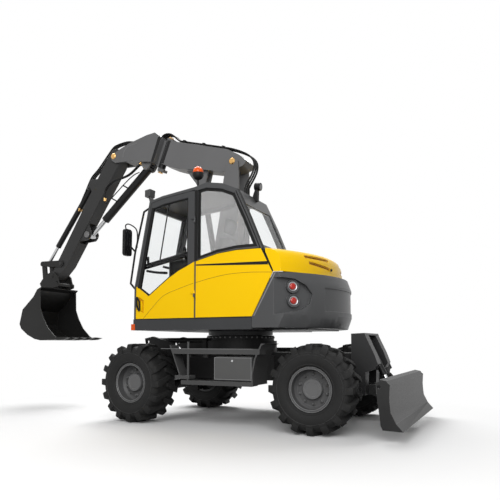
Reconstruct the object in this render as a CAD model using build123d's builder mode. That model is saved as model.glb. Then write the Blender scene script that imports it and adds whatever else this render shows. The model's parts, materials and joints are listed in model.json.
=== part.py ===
"""Wheeled excavator with a three-part arm, an offset hinge in the arm and a dozer blade.

Millimetres, +X forward to the bucket, +Y to the cab's side, +Z up. The origin lies on the
ground under the middle of the machine's length. Outlines of the chassis are given as (x, z)
from the rear axle, and those of the upper works and the arm as (x, z) from the slew axis.
"""

import os
from math import cos, hypot, radians, sin

from build123d import *

os.makedirs("parts", exist_ok=True)

# Running gear
WHEELBASE = 2570
TRACK = 1950
TYRE_DIAMETER = 1085
TYRE_WIDTH = 455
RIM_SEAT_RADIUS = 255
RIM_FLANGE_RADIUS = 270
RIM_WIDTH = 370
RIM_WALL = 14
HUB_COVER_RADIUS = 125
HUB_RADIUS = 105
DISC_OFFSET = 20
DISC_THICKNESS = 30
SPINDLE_RADIUS = 40
SPINDLE_DEPTH = 60
KINGPIN_SPREAD = 1290
KNUCKLE_RADIUS = 60
KINGPIN_RADIUS = 28
KNUCKLE_HALF_HEIGHT = 165
STEER_AT_REST = -6
STEER_ARM = 190
STEER_ROD_RADIUS = 25
AXLE_TUBE_RADIUS = 95
DIFFERENTIAL_RADIUS = 190

# Stations along the machine
REAR_AXLE_X = -2315
SLEW_FROM_REAR_AXLE = 1490
FRONT_AXLE_X = REAR_AXLE_X + WHEELBASE
SLEW_X = REAR_AXLE_X + SLEW_FROM_REAR_AXLE
AXLE_Z = TYRE_DIAMETER / 2

# Clearances
MOVING_GAP = 6
PIN_GAP = 0.3
SLIDE_GAP = 0.5
SEAT_GAP = 0.3

# Chassis
FRAME_WIDTH = 640
FRAME_BOTTOM = 690
FRAME_TOP = 960
FRAME_OVERHANG = 300
BELLY_BOTTOM = 580
SLEW_RING_RADIUS = 500
SLEW_RING_TOP = 1200
SPIGOT_RADIUS = 300
SPIGOT_TOP = 1240
SIDE_HALF_WIDTH = 1150
SIDE_BEAM_TOP = 1017
SIDE_BEAM_HEIGHT = 68
SIDE_BEAM_DEPTH = 190
PLATE = 16

# Upper works
DECK_BOTTOM = 1266
DECK_TOP = 1420
DECK_PLATE = 24
SKIRT_PLATE = 20
DECK_FRONT = 1100
DECK_REAR = -725
TURRET_HALF_WIDTH = 1160
TAIL_RADIUS = 1640
HOOD_CENTRE = 530
HOOD_WALL = 12
WEIGHT_TOP = 1975
SEAM = 4

# Cab
CAB_LEFT = TURRET_HALF_WIDTH
CAB_RIGHT = 215
CAB_WALL = 45
GLASS = 6
DOOR_REAR = 120
DOOR_GAP = 6

# Arm
ARM_Y = -120
LOWER_BOOM_WIDTH = 400
MID_BOOM_WIDTH = 320
STICK_WIDTH = 240
ARM_PLATE = 28
PIN_RADIUS = 38
FOOT_PIN = (230, 1530)
ELBOW_PIN = (115, 3875)
STICK_PIN = (2440, 4310)
BUCKET_PIN = (3760, 2290)
LEVER_PIN = (3600, 2510)
LEVER_END = (4040, 2530)
LINK_PIN = (3990, 2165)
OFFSET_TOP = (1374, 4462)
OFFSET_BOTTOM = (1560, 3985)
BUCKET_WIDTH = 885
BUCKET_PLATE = 14


def side_plane(x, y):
    """A plane across the machine whose first axis is +X from x and second is height."""
    return Plane(origin=(x, y, 0), x_dir=(1, 0, 0), z_dir=(0, -1, 0))


def slab(points, left, right, x=SLEW_X, mode=Mode.ADD):
    """Add the (x, z) outline between y = left and y = right to the part in hand."""
    with BuildSketch(side_plane(x, left)) as outline:
        Polygon(*points, align=None)
    extrude(outline.sketch, amount=left - right, mode=mode)


def cross_bar(centre, radius, left, right, x=SLEW_X, mode=Mode.ADD):
    """Add a round bar across the machine at the (x, z) centre."""
    with BuildSketch(side_plane(x, left)) as round_face:
        with Locations(centre):
            Circle(radius)
    extrude(round_face.sketch, amount=left - right, mode=mode)


def block(xs, ys, zs, x=0, mode=Mode.ADD):
    """Add a box between two x, two y and two z values."""
    with BuildSketch(Plane.XY.offset(zs[0])) as foot:
        with Locations((x + sum(xs) / 2, sum(ys) / 2)):
            Rectangle(xs[1] - xs[0], ys[1] - ys[0])
    extrude(foot.sketch, amount=zs[1] - zs[0], mode=mode)


def bar(start, end, radius, mode=Mode.ADD):
    """Add a round bar between two (x, y, z) points."""
    run = Vector(*end) - Vector(*start)
    with BuildSketch(Plane(origin=start, z_dir=run)) as round_face:
        Circle(radius)
    extrude(round_face.sketch, amount=run.length, mode=mode)


def post(centre, radius, zs, mode=Mode.ADD):
    """Add an upright round bar between two z values."""
    bar((*centre, zs[0]), (*centre, zs[1]), radius, mode)


def arm_plane(start, end, y):
    """The plane across the machine whose first axis runs from one pin to the next."""
    run = (end[0] - start[0], 0, end[1] - start[1])
    return Plane(origin=(SLEW_X + start[0], y, start[1]), x_dir=run, z_dir=(0, -1, 0))


def along(start, end, distance, rise=0):
    """The (x, z) point at a distance from one pin towards another, and off that line."""
    length = hypot(end[0] - start[0], end[1] - start[1])
    ux, uz = (end[0] - start[0]) / length, (end[1] - start[1]) / length
    return (start[0] + ux * distance - uz * rise, start[1] + uz * distance + ux * rise)


def save(piece, name):
    """Label a finished piece and write it."""
    piece.part.label = name
    export_step(piece.part, f"parts/{name}.step")


# Wheels: axle station, side, steering angle at rest
WHEELS = {
    "front_left": (FRONT_AXLE_X, 1, STEER_AT_REST),
    "front_right": (FRONT_AXLE_X, -1, STEER_AT_REST),
    "rear_left": (REAR_AXLE_X, 1, 0),
    "rear_right": (REAR_AXLE_X, -1, 0),
}
KINGPIN_Y = KINGPIN_SPREAD / 2
WHEEL_ARM = TRACK / 2 - KINGPIN_Y


def wheel_axis(station, side, steer):
    """The wheel's centre and outward direction, after turning about its kingpin."""
    outward = Vector(0, side, 0).rotate(Axis.Z, steer)
    centre = Vector(station, side * KINGPIN_Y, AXLE_Z) + outward * WHEEL_ARM
    return centre, outward


def wheel_section(centre, outward):
    """The plane through a wheel's axis: first axis outward, second axis up."""
    return Plane(origin=centre, x_dir=outward, z_dir=outward.cross(Vector(0, 0, 1)))


HALF_RIM = RIM_WIDTH / 2
BARREL_INSIDE = RIM_SEAT_RADIUS - RIM_WALL
DISC_OUTSIDE = DISC_OFFSET + DISC_THICKNESS
RIM_SECTION = [
    (-HALF_RIM, RIM_FLANGE_RADIUS),
    (-HALF_RIM + PLATE, RIM_FLANGE_RADIUS),
    (-HALF_RIM + PLATE, RIM_SEAT_RADIUS),
    (HALF_RIM - PLATE, RIM_SEAT_RADIUS),
    (HALF_RIM - PLATE, RIM_FLANGE_RADIUS),
    (HALF_RIM, RIM_FLANGE_RADIUS),
    (HALF_RIM, BARREL_INSIDE),
    (DISC_OUTSIDE + 2 * PLATE, BARREL_INSIDE),
    (DISC_OUTSIDE, BARREL_INSIDE - 2 * PLATE),
    (DISC_OUTSIDE, HUB_COVER_RADIUS),
    (DISC_OUTSIDE + 3 * PLATE, HUB_COVER_RADIUS - PLATE),
    (DISC_OUTSIDE + 3 * PLATE, 0),
    (DISC_OFFSET + SPINDLE_DEPTH, 0),
    (DISC_OFFSET + SPINDLE_DEPTH, SPINDLE_RADIUS + PIN_GAP),
    (DISC_OFFSET, SPINDLE_RADIUS + PIN_GAP),
    (DISC_OFFSET, BARREL_INSIDE - PLATE),
    (DISC_OFFSET - PLATE, BARREL_INSIDE),
    (-HALF_RIM, BARREL_INSIDE),
]
HALF_TYRE = TYRE_WIDTH / 2
TYRE_RADIUS = TYRE_DIAMETER / 2
BEAD = RIM_FLANGE_RADIUS + SEAT_GAP
LUGS_A_SIDE = 16
# Carcass, as (distance from the tyre's middle, radius): a flat facet under each pair of lugs
CARCASS = [
    (HALF_TYRE - 37, TYRE_RADIUS - 42),
    (HALF_TYRE - 4, TYRE_RADIUS - 150),
    (HALF_RIM - PLATE - SEAT_GAP, BEAD + 6),
]
# A lug from the side, as (distance out, radius), and from above, as (along the tread, distance out)
LUG_SIDE = [
    (0, TYRE_RADIUS - 60),
    (0, TYRE_RADIUS),
    (160, TYRE_RADIUS),
    (HALF_TYRE, TYRE_RADIUS - 62),
    (HALF_TYRE - 24, TYRE_RADIUS - 98),
]
LUG_PLAN = [(48, 3), (-4, 3), (-46, HALF_TYRE + 1), (32, HALF_TYRE + 1)]


def make_lug():
    """The lowest lug on the +Y side of a tyre about the Y axis."""
    with BuildPart() as lug:
        with BuildSketch(Plane(origin=(0, 0, 0), x_dir=(0, 1, 0), z_dir=(-1, 0, 0))):
            Polygon(*[(out, radius) for out, radius in LUG_SIDE], align=None)
        extrude(amount=HALF_TYRE, both=True)
        with BuildSketch(Plane.XY.offset(-TYRE_DIAMETER)) as plan:
            Polygon(*LUG_PLAN, align=None)
        extrude(plan.sketch, amount=TYRE_DIAMETER, mode=Mode.INTERSECT)
    return lug.part


def carcass_ring(out, apothem):
    """The corners of one ring of the carcass about the Y axis."""
    reach = apothem / cos(radians(180 / LUGS_A_SIDE))
    turns = [radians((step + 0.25) * 360 / LUGS_A_SIDE) for step in range(LUGS_A_SIDE)]
    return [Vector(reach * sin(turn), out, -reach * cos(turn)) for turn in turns]


def make_carcass():
    """A closed shell of flat faces: two ends, and a band of facets between each two rings."""
    rings = [carcass_ring(-out, apothem) for out, apothem in reversed(CARCASS)]
    rings += [carcass_ring(out, apothem) for out, apothem in CARCASS]
    faces = [Face(Wire.make_polygon(rings[0])), Face(Wire.make_polygon(rings[-1]))]
    for near, far in zip(rings, rings[1:]):
        for step in range(LUGS_A_SIDE):
            after = (step + 1) % LUGS_A_SIDE
            corners = [near[step], near[after], far[after], far[step]]
            faces.append(Face(Wire.make_polygon(corners)))
    return Solid(Shell(faces))


def make_tyre():
    """A closed ring of rubber about the Y axis, its lugs in turn from one side and the other."""
    lug = make_lug()
    pitch = 360 / LUGS_A_SIDE
    lugs = []
    for step in range(LUGS_A_SIDE):
        lugs.append(lug.rotate(Axis.Y, step * pitch))
        lugs.append(lug.mirror(Plane.XZ).rotate(Axis.Y, (step + 0.5) * pitch))
    with BuildPart() as tyre:
        add(make_carcass())
        add(lugs)
        bar((0, -HALF_TYRE, 0), (0, HALF_TYRE, 0), RIM_SEAT_RADIUS + SEAT_GAP, mode=Mode.SUBTRACT)
    return tyre.part


def make_rim(centre, outward):
    """The wheel's barrel, its dished disc and the hub's cover."""
    with BuildPart() as rim:
        with BuildSketch(wheel_section(centre, outward)):
            Polygon(*RIM_SECTION, align=None)
        revolve(axis=Axis(centre, outward))
    return rim


tyre_shape = make_tyre()
for place, (station, side, steer) in WHEELS.items():
    wheel_centre, wheel_outward = wheel_axis(station, side, steer)
    with BuildPart() as tyre:
        add(tyre_shape.moved(Location(tuple(wheel_centre), (0, 0, steer))))
    save(tyre, f"tyre_{place}")
    save(make_rim(wheel_centre, wheel_outward), f"rim_{place}")

# Rear axle: one tube, its differential, and a hub that ends inside each wheel
HUB_END = TRACK / 2 + DISC_OFFSET - MOVING_GAP
with BuildPart() as rear_axle:
    bar((REAR_AXLE_X, -HUB_END, AXLE_Z), (REAR_AXLE_X, HUB_END, AXLE_Z), AXLE_TUBE_RADIUS)
    bar((REAR_AXLE_X, -DIFFERENTIAL_RADIUS, AXLE_Z), (REAR_AXLE_X, DIFFERENTIAL_RADIUS, AXLE_Z),
        DIFFERENTIAL_RADIUS)
    for side in (-1, 1):
        bar((REAR_AXLE_X, side * (HUB_END - 190), AXLE_Z), (REAR_AXLE_X, side * HUB_END, AXLE_Z),
            HUB_RADIUS + 60)
        bar((REAR_AXLE_X, side * HUB_END, AXLE_Z),
            (REAR_AXLE_X, side * (HUB_END + SPINDLE_DEPTH), AXLE_Z), SPINDLE_RADIUS)
        block((-110, 110), sorted((side * 260, side * 400)), (AXLE_Z, FRAME_BOTTOM - SEAT_GAP),
              REAR_AXLE_X)
save(rear_axle, "rear_axle")

# Front axle: tube, differential, forked ends round the kingpins, and the steering cylinder
EAR = 40
YOKE_HALF_HEIGHT = KNUCKLE_HALF_HEIGHT + MOVING_GAP + EAR
YOKE_ROOT = KINGPIN_Y - KNUCKLE_RADIUS - 45
STEER_ROD_X = FRONT_AXLE_X - STEER_ARM
STEER_ROD_Z = AXLE_Z + 30
STEER_BARREL_HALF = 240
STEER_BARREL_RADIUS = 48
with BuildPart() as front_axle:
    bar((FRONT_AXLE_X, -YOKE_ROOT, AXLE_Z), (FRONT_AXLE_X, YOKE_ROOT, AXLE_Z), AXLE_TUBE_RADIUS)
    bar((FRONT_AXLE_X, -DIFFERENTIAL_RADIUS, AXLE_Z),
        (FRONT_AXLE_X, DIFFERENTIAL_RADIUS, AXLE_Z), DIFFERENTIAL_RADIUS - 40)
    for side in (-1, 1):
        ys = sorted((side * (YOKE_ROOT - 60), side * YOKE_ROOT))
        block((-60, 60), ys, (AXLE_Z - YOKE_HALF_HEIGHT, AXLE_Z + YOKE_HALF_HEIGHT), FRONT_AXLE_X)
        for level in (-1, 1):
            ear_zs = sorted((AXLE_Z + level * YOKE_HALF_HEIGHT,
                             AXLE_Z + level * (YOKE_HALF_HEIGHT - EAR)))
            block((-60, 60), sorted((side * YOKE_ROOT, side * KINGPIN_Y)), ear_zs, FRONT_AXLE_X)
            post((FRONT_AXLE_X, side * KINGPIN_Y), KNUCKLE_RADIUS + 10, ear_zs)
        block((-110, 110), sorted((side * 260, side * 400)), (AXLE_Z, FRAME_BOTTOM - SEAT_GAP),
              FRONT_AXLE_X)
        post((FRONT_AXLE_X, side * KINGPIN_Y), KINGPIN_RADIUS,
             (AXLE_Z - YOKE_HALF_HEIGHT, AXLE_Z + YOKE_HALF_HEIGHT))
    barrel_ends = [(STEER_ROD_X, side * STEER_BARREL_HALF, STEER_ROD_Z) for side in (-1, 1)]
    bar(*barrel_ends, STEER_BARREL_RADIUS)
    block((STEER_ROD_X + 30, FRONT_AXLE_X - 60), (-STEER_BARREL_HALF + 60, STEER_BARREL_HALF - 60),
          (STEER_ROD_Z - 40, STEER_ROD_Z + 40))
    bar(*barrel_ends, STEER_ROD_RADIUS + SLIDE_GAP, mode=Mode.SUBTRACT)
save(front_axle, "front_axle")

# Steering: a knuckle each side with its arm, and one rod through the steering cylinder
ARM_THICKNESS = 30
ROD_END_HALF = STEER_ROD_RADIUS + 4
ARM_TOP = STEER_ROD_Z - ROD_END_HALF - MOVING_GAP
for side, place in ((1, "left"), (-1, "right")):
    station, _, steer = WHEELS[f"front_{place}"]
    wheel_centre, wheel_outward = wheel_axis(station, side, steer)
    pivot = Vector(FRONT_AXLE_X, side * KINGPIN_Y, AXLE_Z)
    hub_end = wheel_centre + wheel_outward * (DISC_OFFSET - MOVING_GAP)
    arm_end = pivot + Vector(-STEER_ARM, 0, 0).rotate(Axis.Z, steer)
    with BuildPart() as knuckle:
        knuckle_zs = (AXLE_Z - KNUCKLE_HALF_HEIGHT, AXLE_Z + KNUCKLE_HALF_HEIGHT)
        post((pivot.X, pivot.Y), KNUCKLE_RADIUS, knuckle_zs)
        bar(tuple(pivot), tuple(hub_end), HUB_RADIUS - 20)
        bar(tuple(hub_end - wheel_outward * 150), tuple(hub_end), HUB_RADIUS + 60)
        bar(tuple(hub_end), tuple(hub_end + wheel_outward * SPINDLE_DEPTH), SPINDLE_RADIUS)
        with BuildSketch(Plane.XY.offset(ARM_TOP - ARM_THICKNESS)) as arm_face:
            with Locations((pivot.X, pivot.Y), (arm_end.X, arm_end.Y)):
                Circle(32)
            make_hull()
        extrude(arm_face.sketch, amount=ARM_THICKNESS)
        post((pivot.X, pivot.Y), KINGPIN_RADIUS + PIN_GAP, knuckle_zs, mode=Mode.SUBTRACT)
    save(knuckle, f"knuckle_{place}")

with BuildPart() as steering_rod:
    rod_shift = STEER_ARM * sin(radians(STEER_AT_REST))
    rod_ends = [(STEER_ROD_X, side * KINGPIN_Y - rod_shift, STEER_ROD_Z) for side in (-1, 1)]
    bar(*rod_ends, STEER_ROD_RADIUS)
    for end in rod_ends:
        post(end[:2], STEER_ROD_RADIUS + 14,
             (STEER_ROD_Z - ROD_END_HALF, STEER_ROD_Z + ROD_END_HALF))
save(steering_rod, "steering_rod")

# Chassis frame: box between the axles, the slew ring's pedestal, brackets for a front tool
HALF_FRAME = FRAME_WIDTH / 2
PEDESTAL_TOP = SLEW_RING_TOP - 75
TOW_EYE = (279, 1110)
TOW_EYE_RADIUS = 30
with BuildPart() as chassis_frame:
    block((REAR_AXLE_X - FRAME_OVERHANG, FRONT_AXLE_X + FRAME_OVERHANG), (-HALF_FRAME, HALF_FRAME),
          (FRAME_BOTTOM, FRAME_TOP))
    block((REAR_AXLE_X + 420, FRONT_AXLE_X - 420), (-HALF_FRAME - 90, HALF_FRAME + 90),
          (BELLY_BOTTOM, FRAME_TOP))
    post((SLEW_X, 0), SLEW_RING_RADIUS + 40, (FRAME_TOP, PEDESTAL_TOP))
    post((SLEW_X, 0), SLEW_RING_RADIUS, (PEDESTAL_TOP, SLEW_RING_TOP))
    post((SLEW_X, 0), SPIGOT_RADIUS, (SLEW_RING_TOP, SPIGOT_TOP))
    for side in (-1, 1):
        ys = (side * 430 + 30, side * 430 - 30)
        slab([(-190, FRAME_TOP - 60), (-190, 1090), (190, 1190), (330, 1160), (310, 1060),
              (80, FRAME_TOP - 60)], *ys, x=FRONT_AXLE_X)
        cross_bar(TOW_EYE, TOW_EYE_RADIUS, *ys, x=FRONT_AXLE_X, mode=Mode.SUBTRACT)
    block((-170, 50), (-460, 460), (FRAME_TOP - 60, FRAME_TOP), FRONT_AXLE_X)
    for station in (REAR_AXLE_X, FRONT_AXLE_X):
        notch = DIFFERENTIAL_RADIUS + 12
        bar((station, -notch, AXLE_Z), (station, notch, AXLE_Z), notch, mode=Mode.SUBTRACT)
    bar((FRONT_AXLE_X - 740, 400, 1130), (FRONT_AXLE_X + 130, 400, 1130), 38)
    block((-740, -670), (360, 440), (FRAME_TOP, 1130), FRONT_AXLE_X)
save(chassis_frame, "chassis_frame")

# Side steps: upper beam, lower tread, mudguards, and on each side one closed box with a lid
BEAM_BOTTOM = SIDE_BEAM_TOP - SIDE_BEAM_HEIGHT
BEAM_INSIDE = SIDE_HALF_WIDTH - SIDE_BEAM_DEPTH
BOX_OUTSIDE = SIDE_HALF_WIDTH - 45
STEP_ROOT = HALF_FRAME + 90 + SEAT_GAP
REAR_GUARD = [(585, 1085), (640, 1085), (735, 900), (778, 700), (772, 570), (752, 560), (757, 700),
              (715, 893), (630, 1064)]
STEP_FRONT = WHEELBASE - 670
FRONT_GUARD = [(STEP_FRONT - 65, 674), (STEP_FRONT + 90, 1065), (STEP_FRONT + 73, 1065),
               (STEP_FRONT - 82, 674)]
for side, place in ((1, "left"), (-1, "right")):
    def across(inner, outer):
        """The two y values of a piece on this side, left first."""
        return tuple(sorted((side * inner, side * outer), reverse=True))

    with BuildPart() as side_step:
        slab([(660, BEAM_BOTTOM), (660, SIDE_BEAM_TOP), (STEP_FRONT + 60, SIDE_BEAM_TOP),
              (STEP_FRONT + 30, BEAM_BOTTOM)], *across(BEAM_INSIDE, SIDE_HALF_WIDTH), x=REAR_AXLE_X)
        slab(REAR_GUARD, *across(700, SIDE_HALF_WIDTH), x=REAR_AXLE_X)
        slab(FRONT_GUARD, *across(BEAM_INSIDE, SIDE_HALF_WIDTH), x=REAR_AXLE_X)
        slab([(772, BELLY_BOTTOM + 20), (772, 920), (1294, 920), (1294, BELLY_BOTTOM + 20)],
             *across(STEP_ROOT, BOX_OUTSIDE), x=REAR_AXLE_X)
        slab([(772, 548), (772, BELLY_BOTTOM + 22), (STEP_FRONT - 98, BELLY_BOTTOM + 22),
              (STEP_FRONT - 98, 548)], *across(BEAM_INSIDE, SIDE_HALF_WIDTH), x=REAR_AXLE_X)
        slab([(STEP_FRONT - 219, 620), (STEP_FRONT - 219, 665), (STEP_FRONT, 665), (STEP_FRONT, 620)],
             *across(BEAM_INSIDE + 30, SIDE_HALF_WIDTH), x=REAR_AXLE_X)
        for brace in (900, STEP_FRONT - 400, STEP_FRONT - 150):
            slab([(brace, 900), (brace, 960), (brace + 60, 960), (brace + 60, 900)],
                 *across(STEP_ROOT, BEAM_INSIDE + 20), x=REAR_AXLE_X)
        slab([(STEP_FRONT - 260, 548), (STEP_FRONT - 260, 579), (STEP_FRONT - 200, 579),
              (STEP_FRONT - 200, 548)], *across(STEP_ROOT - 80, BEAM_INSIDE + 20), x=REAR_AXLE_X)
        post((REAR_AXLE_X + STEP_FRONT - 188, side * (SIDE_HALF_WIDTH - 30)), 17, (600, 1110))
    save(side_step, f"side_step_{place}")

# Blade carrier behind the rear axle: two sloping cheeks, a front wall, a top plate and the pins
CARRIER_HALF = 400
CHEEK = 190
CHEEK_INSIDE = CARRIER_HALF - CHEEK
BLADE_PIVOT = (-405, 500)
BLADE_PIN_RADIUS = 30
BLADE_RAM_FOOT = (-420, 1105)
BLADE_RAM_EYE = (-690, 560)
WALL_X = -FRAME_OVERHANG - SEAT_GAP
CHEEK_OUTLINE = [(WALL_X, FRAME_BOTTOM), (WALL_X, 1200), (-470, 1222), (-590, 965), (-640, 830),
                 (-600, 760), (-480, 720), (-470, 430), (-340, 430), (-330, FRAME_BOTTOM)]
with BuildPart() as blade_carrier:
    for side in (-1, 1):
        ys = sorted((side * CARRIER_HALF, side * CHEEK_INSIDE), reverse=True)
        slab(CHEEK_OUTLINE, *ys, x=REAR_AXLE_X)
    slab([(WALL_X, FRAME_BOTTOM), (WALL_X, 1200), (WALL_X - 30, 1200), (WALL_X - 30, FRAME_BOTTOM)],
         CARRIER_HALF, -CARRIER_HALF, x=REAR_AXLE_X)
    slab([(WALL_X, 1190), (WALL_X, 1214), (-474, 1222), (-485, 1196)], CARRIER_HALF, -CARRIER_HALF,
         x=REAR_AXLE_X)
    cross_bar(BLADE_PIVOT, BLADE_PIN_RADIUS, CARRIER_HALF + 15, -CARRIER_HALF - 15, x=REAR_AXLE_X)
    cross_bar(BLADE_RAM_FOOT, BLADE_PIN_RADIUS, CHEEK_INSIDE, -CHEEK_INSIDE, x=REAR_AXLE_X)
save(blade_carrier, "blade_carrier")

# Blade: curved mouldboard, end plates, two arms to the pivot, ears for its ram
BLADE_WIDTH = 2485
BLADE_SKIN = [(-915, 675), (-835, 690), (-835, 640), (-885, 560), (-890, 380), (-930, 250),
              (-1000, 160), (-1040, 130), (-1086, 130), (-1010, 215), (-955, 330), (-940, 480),
              (-950, 620)]
BLADE_END = [(-797, 660), (-898, 675), (-952, 634), (-942, 493), (-953, 310), (-1029, 186),
             (-1086, 130), (-863, 137), (-840, 185), (-820, 379), (-802, 542)]
BLADE_ARM = [(-405, 555), (-620, 560), (-895, 480), (-915, 300), (-900, 250), (-640, 390), (-405, 445)]
BLADE_TIE_HOLE = (-832, 610)
BLADE_TIE_RADIUS = 22
BLADE_END_PLATE = 30
BLADE_ARM_OUTSIDE = CHEEK_INSIDE - MOVING_GAP
BLADE_ARM_INSIDE = BLADE_ARM_OUTSIDE - 70
RAM_EAR = 24
with BuildPart() as blade:
    slab(BLADE_SKIN, BLADE_WIDTH / 2, -BLADE_WIDTH / 2, x=REAR_AXLE_X)
    for side in (-1, 1):
        ys = sorted((side * BLADE_WIDTH / 2, side * (BLADE_WIDTH / 2 - BLADE_END_PLATE)), reverse=True)
        slab(BLADE_END, *ys, x=REAR_AXLE_X)
        cross_bar(BLADE_TIE_HOLE, BLADE_TIE_RADIUS, *ys, x=REAR_AXLE_X, mode=Mode.SUBTRACT)
        ys = sorted((side * BLADE_ARM_OUTSIDE, side * BLADE_ARM_INSIDE), reverse=True)
        slab(BLADE_ARM, *ys, x=REAR_AXLE_X)
        cross_bar(BLADE_PIVOT, BLADE_PIN_RADIUS + 25, *ys, x=REAR_AXLE_X)
        ys = sorted((side * 58, side * (58 + RAM_EAR)), reverse=True)
        slab([(-640, 520), (-640, 600), (-740, 600), (-890, 470), (-890, 400)], *ys, x=REAR_AXLE_X)
    slab([(-850, 330), (-850, 470), (-900, 470), (-910, 320)], BLADE_ARM_OUTSIDE, -BLADE_ARM_OUTSIDE,
         x=REAR_AXLE_X)
    cross_bar(BLADE_PIVOT, BLADE_PIN_RADIUS + PIN_GAP, BLADE_ARM_OUTSIDE, -BLADE_ARM_OUTSIDE,
              x=REAR_AXLE_X, mode=Mode.SUBTRACT)
save(blade, "blade")

# Slewing deck: bottom plate, skirt and top plate, open behind towards the engine, with the two
# cheeks that carry the arm's foot pin and the lift rams' pin
SEAT_Z = DECK_TOP + SEAT_GAP
LOWER_HALF = LOWER_BOOM_WIDTH / 2
LIFT_RAM_FOOT = (800, 1490)
FOOT_CHEEK = [(-600, DECK_TOP - 1), (-480, 1560), (120, 1660), (340, 1660), (470, 1570), (880, 1560),
              (930, DECK_TOP - 1)]
TAIL_HALF = TURRET_HALF_WIDTH - 460
foot_left = ARM_Y + LOWER_HALF + MOVING_GAP
foot_right = ARM_Y - LOWER_HALF - MOVING_GAP
with BuildPart() as deck:
    block((DECK_REAR, DECK_FRONT), (-TURRET_HALF_WIDTH, TURRET_HALF_WIDTH), (DECK_BOTTOM, DECK_TOP),
          SLEW_X)
    block((DECK_REAR - 1, DECK_FRONT - SKIRT_PLATE),
          (SKIRT_PLATE - TURRET_HALF_WIDTH, TURRET_HALF_WIDTH - SKIRT_PLATE),
          (DECK_BOTTOM + DECK_PLATE, DECK_TOP - DECK_PLATE), SLEW_X, mode=Mode.SUBTRACT)
    block((-1310, DECK_REAR), (-TAIL_HALF, TAIL_HALF), (DECK_BOTTOM, DECK_BOTTOM + DECK_PLATE),
          SLEW_X)
    post((SLEW_X, 0), SLEW_RING_RADIUS - 20, (SLEW_RING_TOP + MOVING_GAP, DECK_BOTTOM))
    post((SLEW_X, 0), SPIGOT_RADIUS + PIN_GAP, (SLEW_RING_TOP, SPIGOT_TOP + MOVING_GAP),
         mode=Mode.SUBTRACT)
    for rib in (-500, 0, 500):
        block((DECK_REAR, DECK_FRONT - SKIRT_PLATE), (rib - 10, rib + 10),
              (DECK_BOTTOM + DECK_PLATE, DECK_TOP - DECK_PLATE), SLEW_X)
    for span in ((foot_left + ARM_PLATE, foot_left), (foot_right, foot_right - ARM_PLATE)):
        slab(FOOT_CHEEK, *span)
    cross_bar(FOOT_PIN, PIN_RADIUS, foot_left + ARM_PLATE + 12, foot_right - ARM_PLATE - 12)
    cross_bar(LIFT_RAM_FOOT, BLADE_PIN_RADIUS, foot_left, foot_right)
    slab([(-600, DECK_TOP), (-600, DECK_TOP + 20), (-100, DECK_TOP + 20), (-100, DECK_TOP)], foot_left,
         foot_right)
save(deck, "deck")

# Counterweight: a body turned about the slew axis, cut to the machine's width and side outline
WEIGHT_SECTION = [(900, 1284), (1585, 1284), (TAIL_RADIUS, 1440), (TAIL_RADIUS, 1830),
                  (TAIL_RADIUS - 35, 1930), (TAIL_RADIUS - 50, WEIGHT_TOP), (900, WEIGHT_TOP)]
WEIGHT_SIDE = [(DECK_REAR - SEAM, 1280), (DECK_REAR - SEAM, DECK_TOP + 4), (-1026, WEIGHT_TOP + 1),
               (-1800, WEIGHT_TOP + 1), (-1800, 1280)]
SLEW_AXIS = Axis((SLEW_X, 0, 0), (0, 0, 1))
WEIGHT_HOLLOW = [(-1320, TAIL_HALF), (-1080, TURRET_HALF_WIDTH - 150)]
# Each tail lamp's pocket: a flat floor that faces 45 degrees out, with its outline as (along, z)
POCKET_DEPTH = 95
POCKET = [(-20, 1903), (-171, 1889), (-329, 1811), (-419, 1708), (-377, 1575), (-242, 1501),
          (-100, 1472), (125, 1443), (140, 1903)]
TAIL_LAMPS = [(-149, 1796), (-159, 1617)]
TAIL_LAMP_RADIUS = 84
BAND_ZS = (1501, 1798)
BAND_DEPTH = 15
BAND_HALF_ANGLE = 22.3
with BuildPart() as tail_band:
    with BuildSketch(side_plane(SLEW_X, 0)):
        with Locations((-TAIL_RADIUS, sum(BAND_ZS) / 2)):
            Rectangle(2 * BAND_DEPTH, BAND_ZS[1] - BAND_ZS[0])
    revolve(axis=SLEW_AXIS, revolution_arc=2 * BAND_HALF_ANGLE)
with BuildPart() as counterweight:
    with BuildSketch(side_plane(SLEW_X, 0)):
        Polygon(*[(-r, z) for r, z in WEIGHT_SECTION], align=None)
    revolve(axis=SLEW_AXIS)
    slab(WEIGHT_SIDE, TURRET_HALF_WIDTH, -TURRET_HALF_WIDTH, mode=Mode.INTERSECT)
    for depth, half in WEIGHT_HOLLOW:
        block((depth, 0), (-half, half), (1200, 2100), SLEW_X, mode=Mode.SUBTRACT)
    add(tail_band.part.rotate(SLEW_AXIS, -BAND_HALF_ANGLE), mode=Mode.SUBTRACT)
    for side in (-1, 1):
        outward = Vector(-1, side, 0).normalized()
        tangent = Vector(1, side, 0).normalized()
        floor = Vector(SLEW_X, 0, 0) + outward * (TAIL_RADIUS - POCKET_DEPTH)
        with BuildSketch(Plane(origin=floor, x_dir=tangent, z_dir=tangent.cross(Vector(0, 0, 1)))):
            Polygon(*POCKET, align=None)
        extrude(amount=3 * POCKET_DEPTH, dir=outward, mode=Mode.SUBTRACT)
        for distance, level in TAIL_LAMPS:
            centre = floor + tangent * distance + Vector(0, 0, level)
            bar(tuple(centre - outward * PLATE), tuple(centre + outward * 48), TAIL_LAMP_RADIUS)
            bar(tuple(centre + outward * 38), tuple(centre + outward * 50), TAIL_LAMP_RADIUS - 10,
                mode=Mode.SUBTRACT)
save(counterweight, "counterweight")

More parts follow.
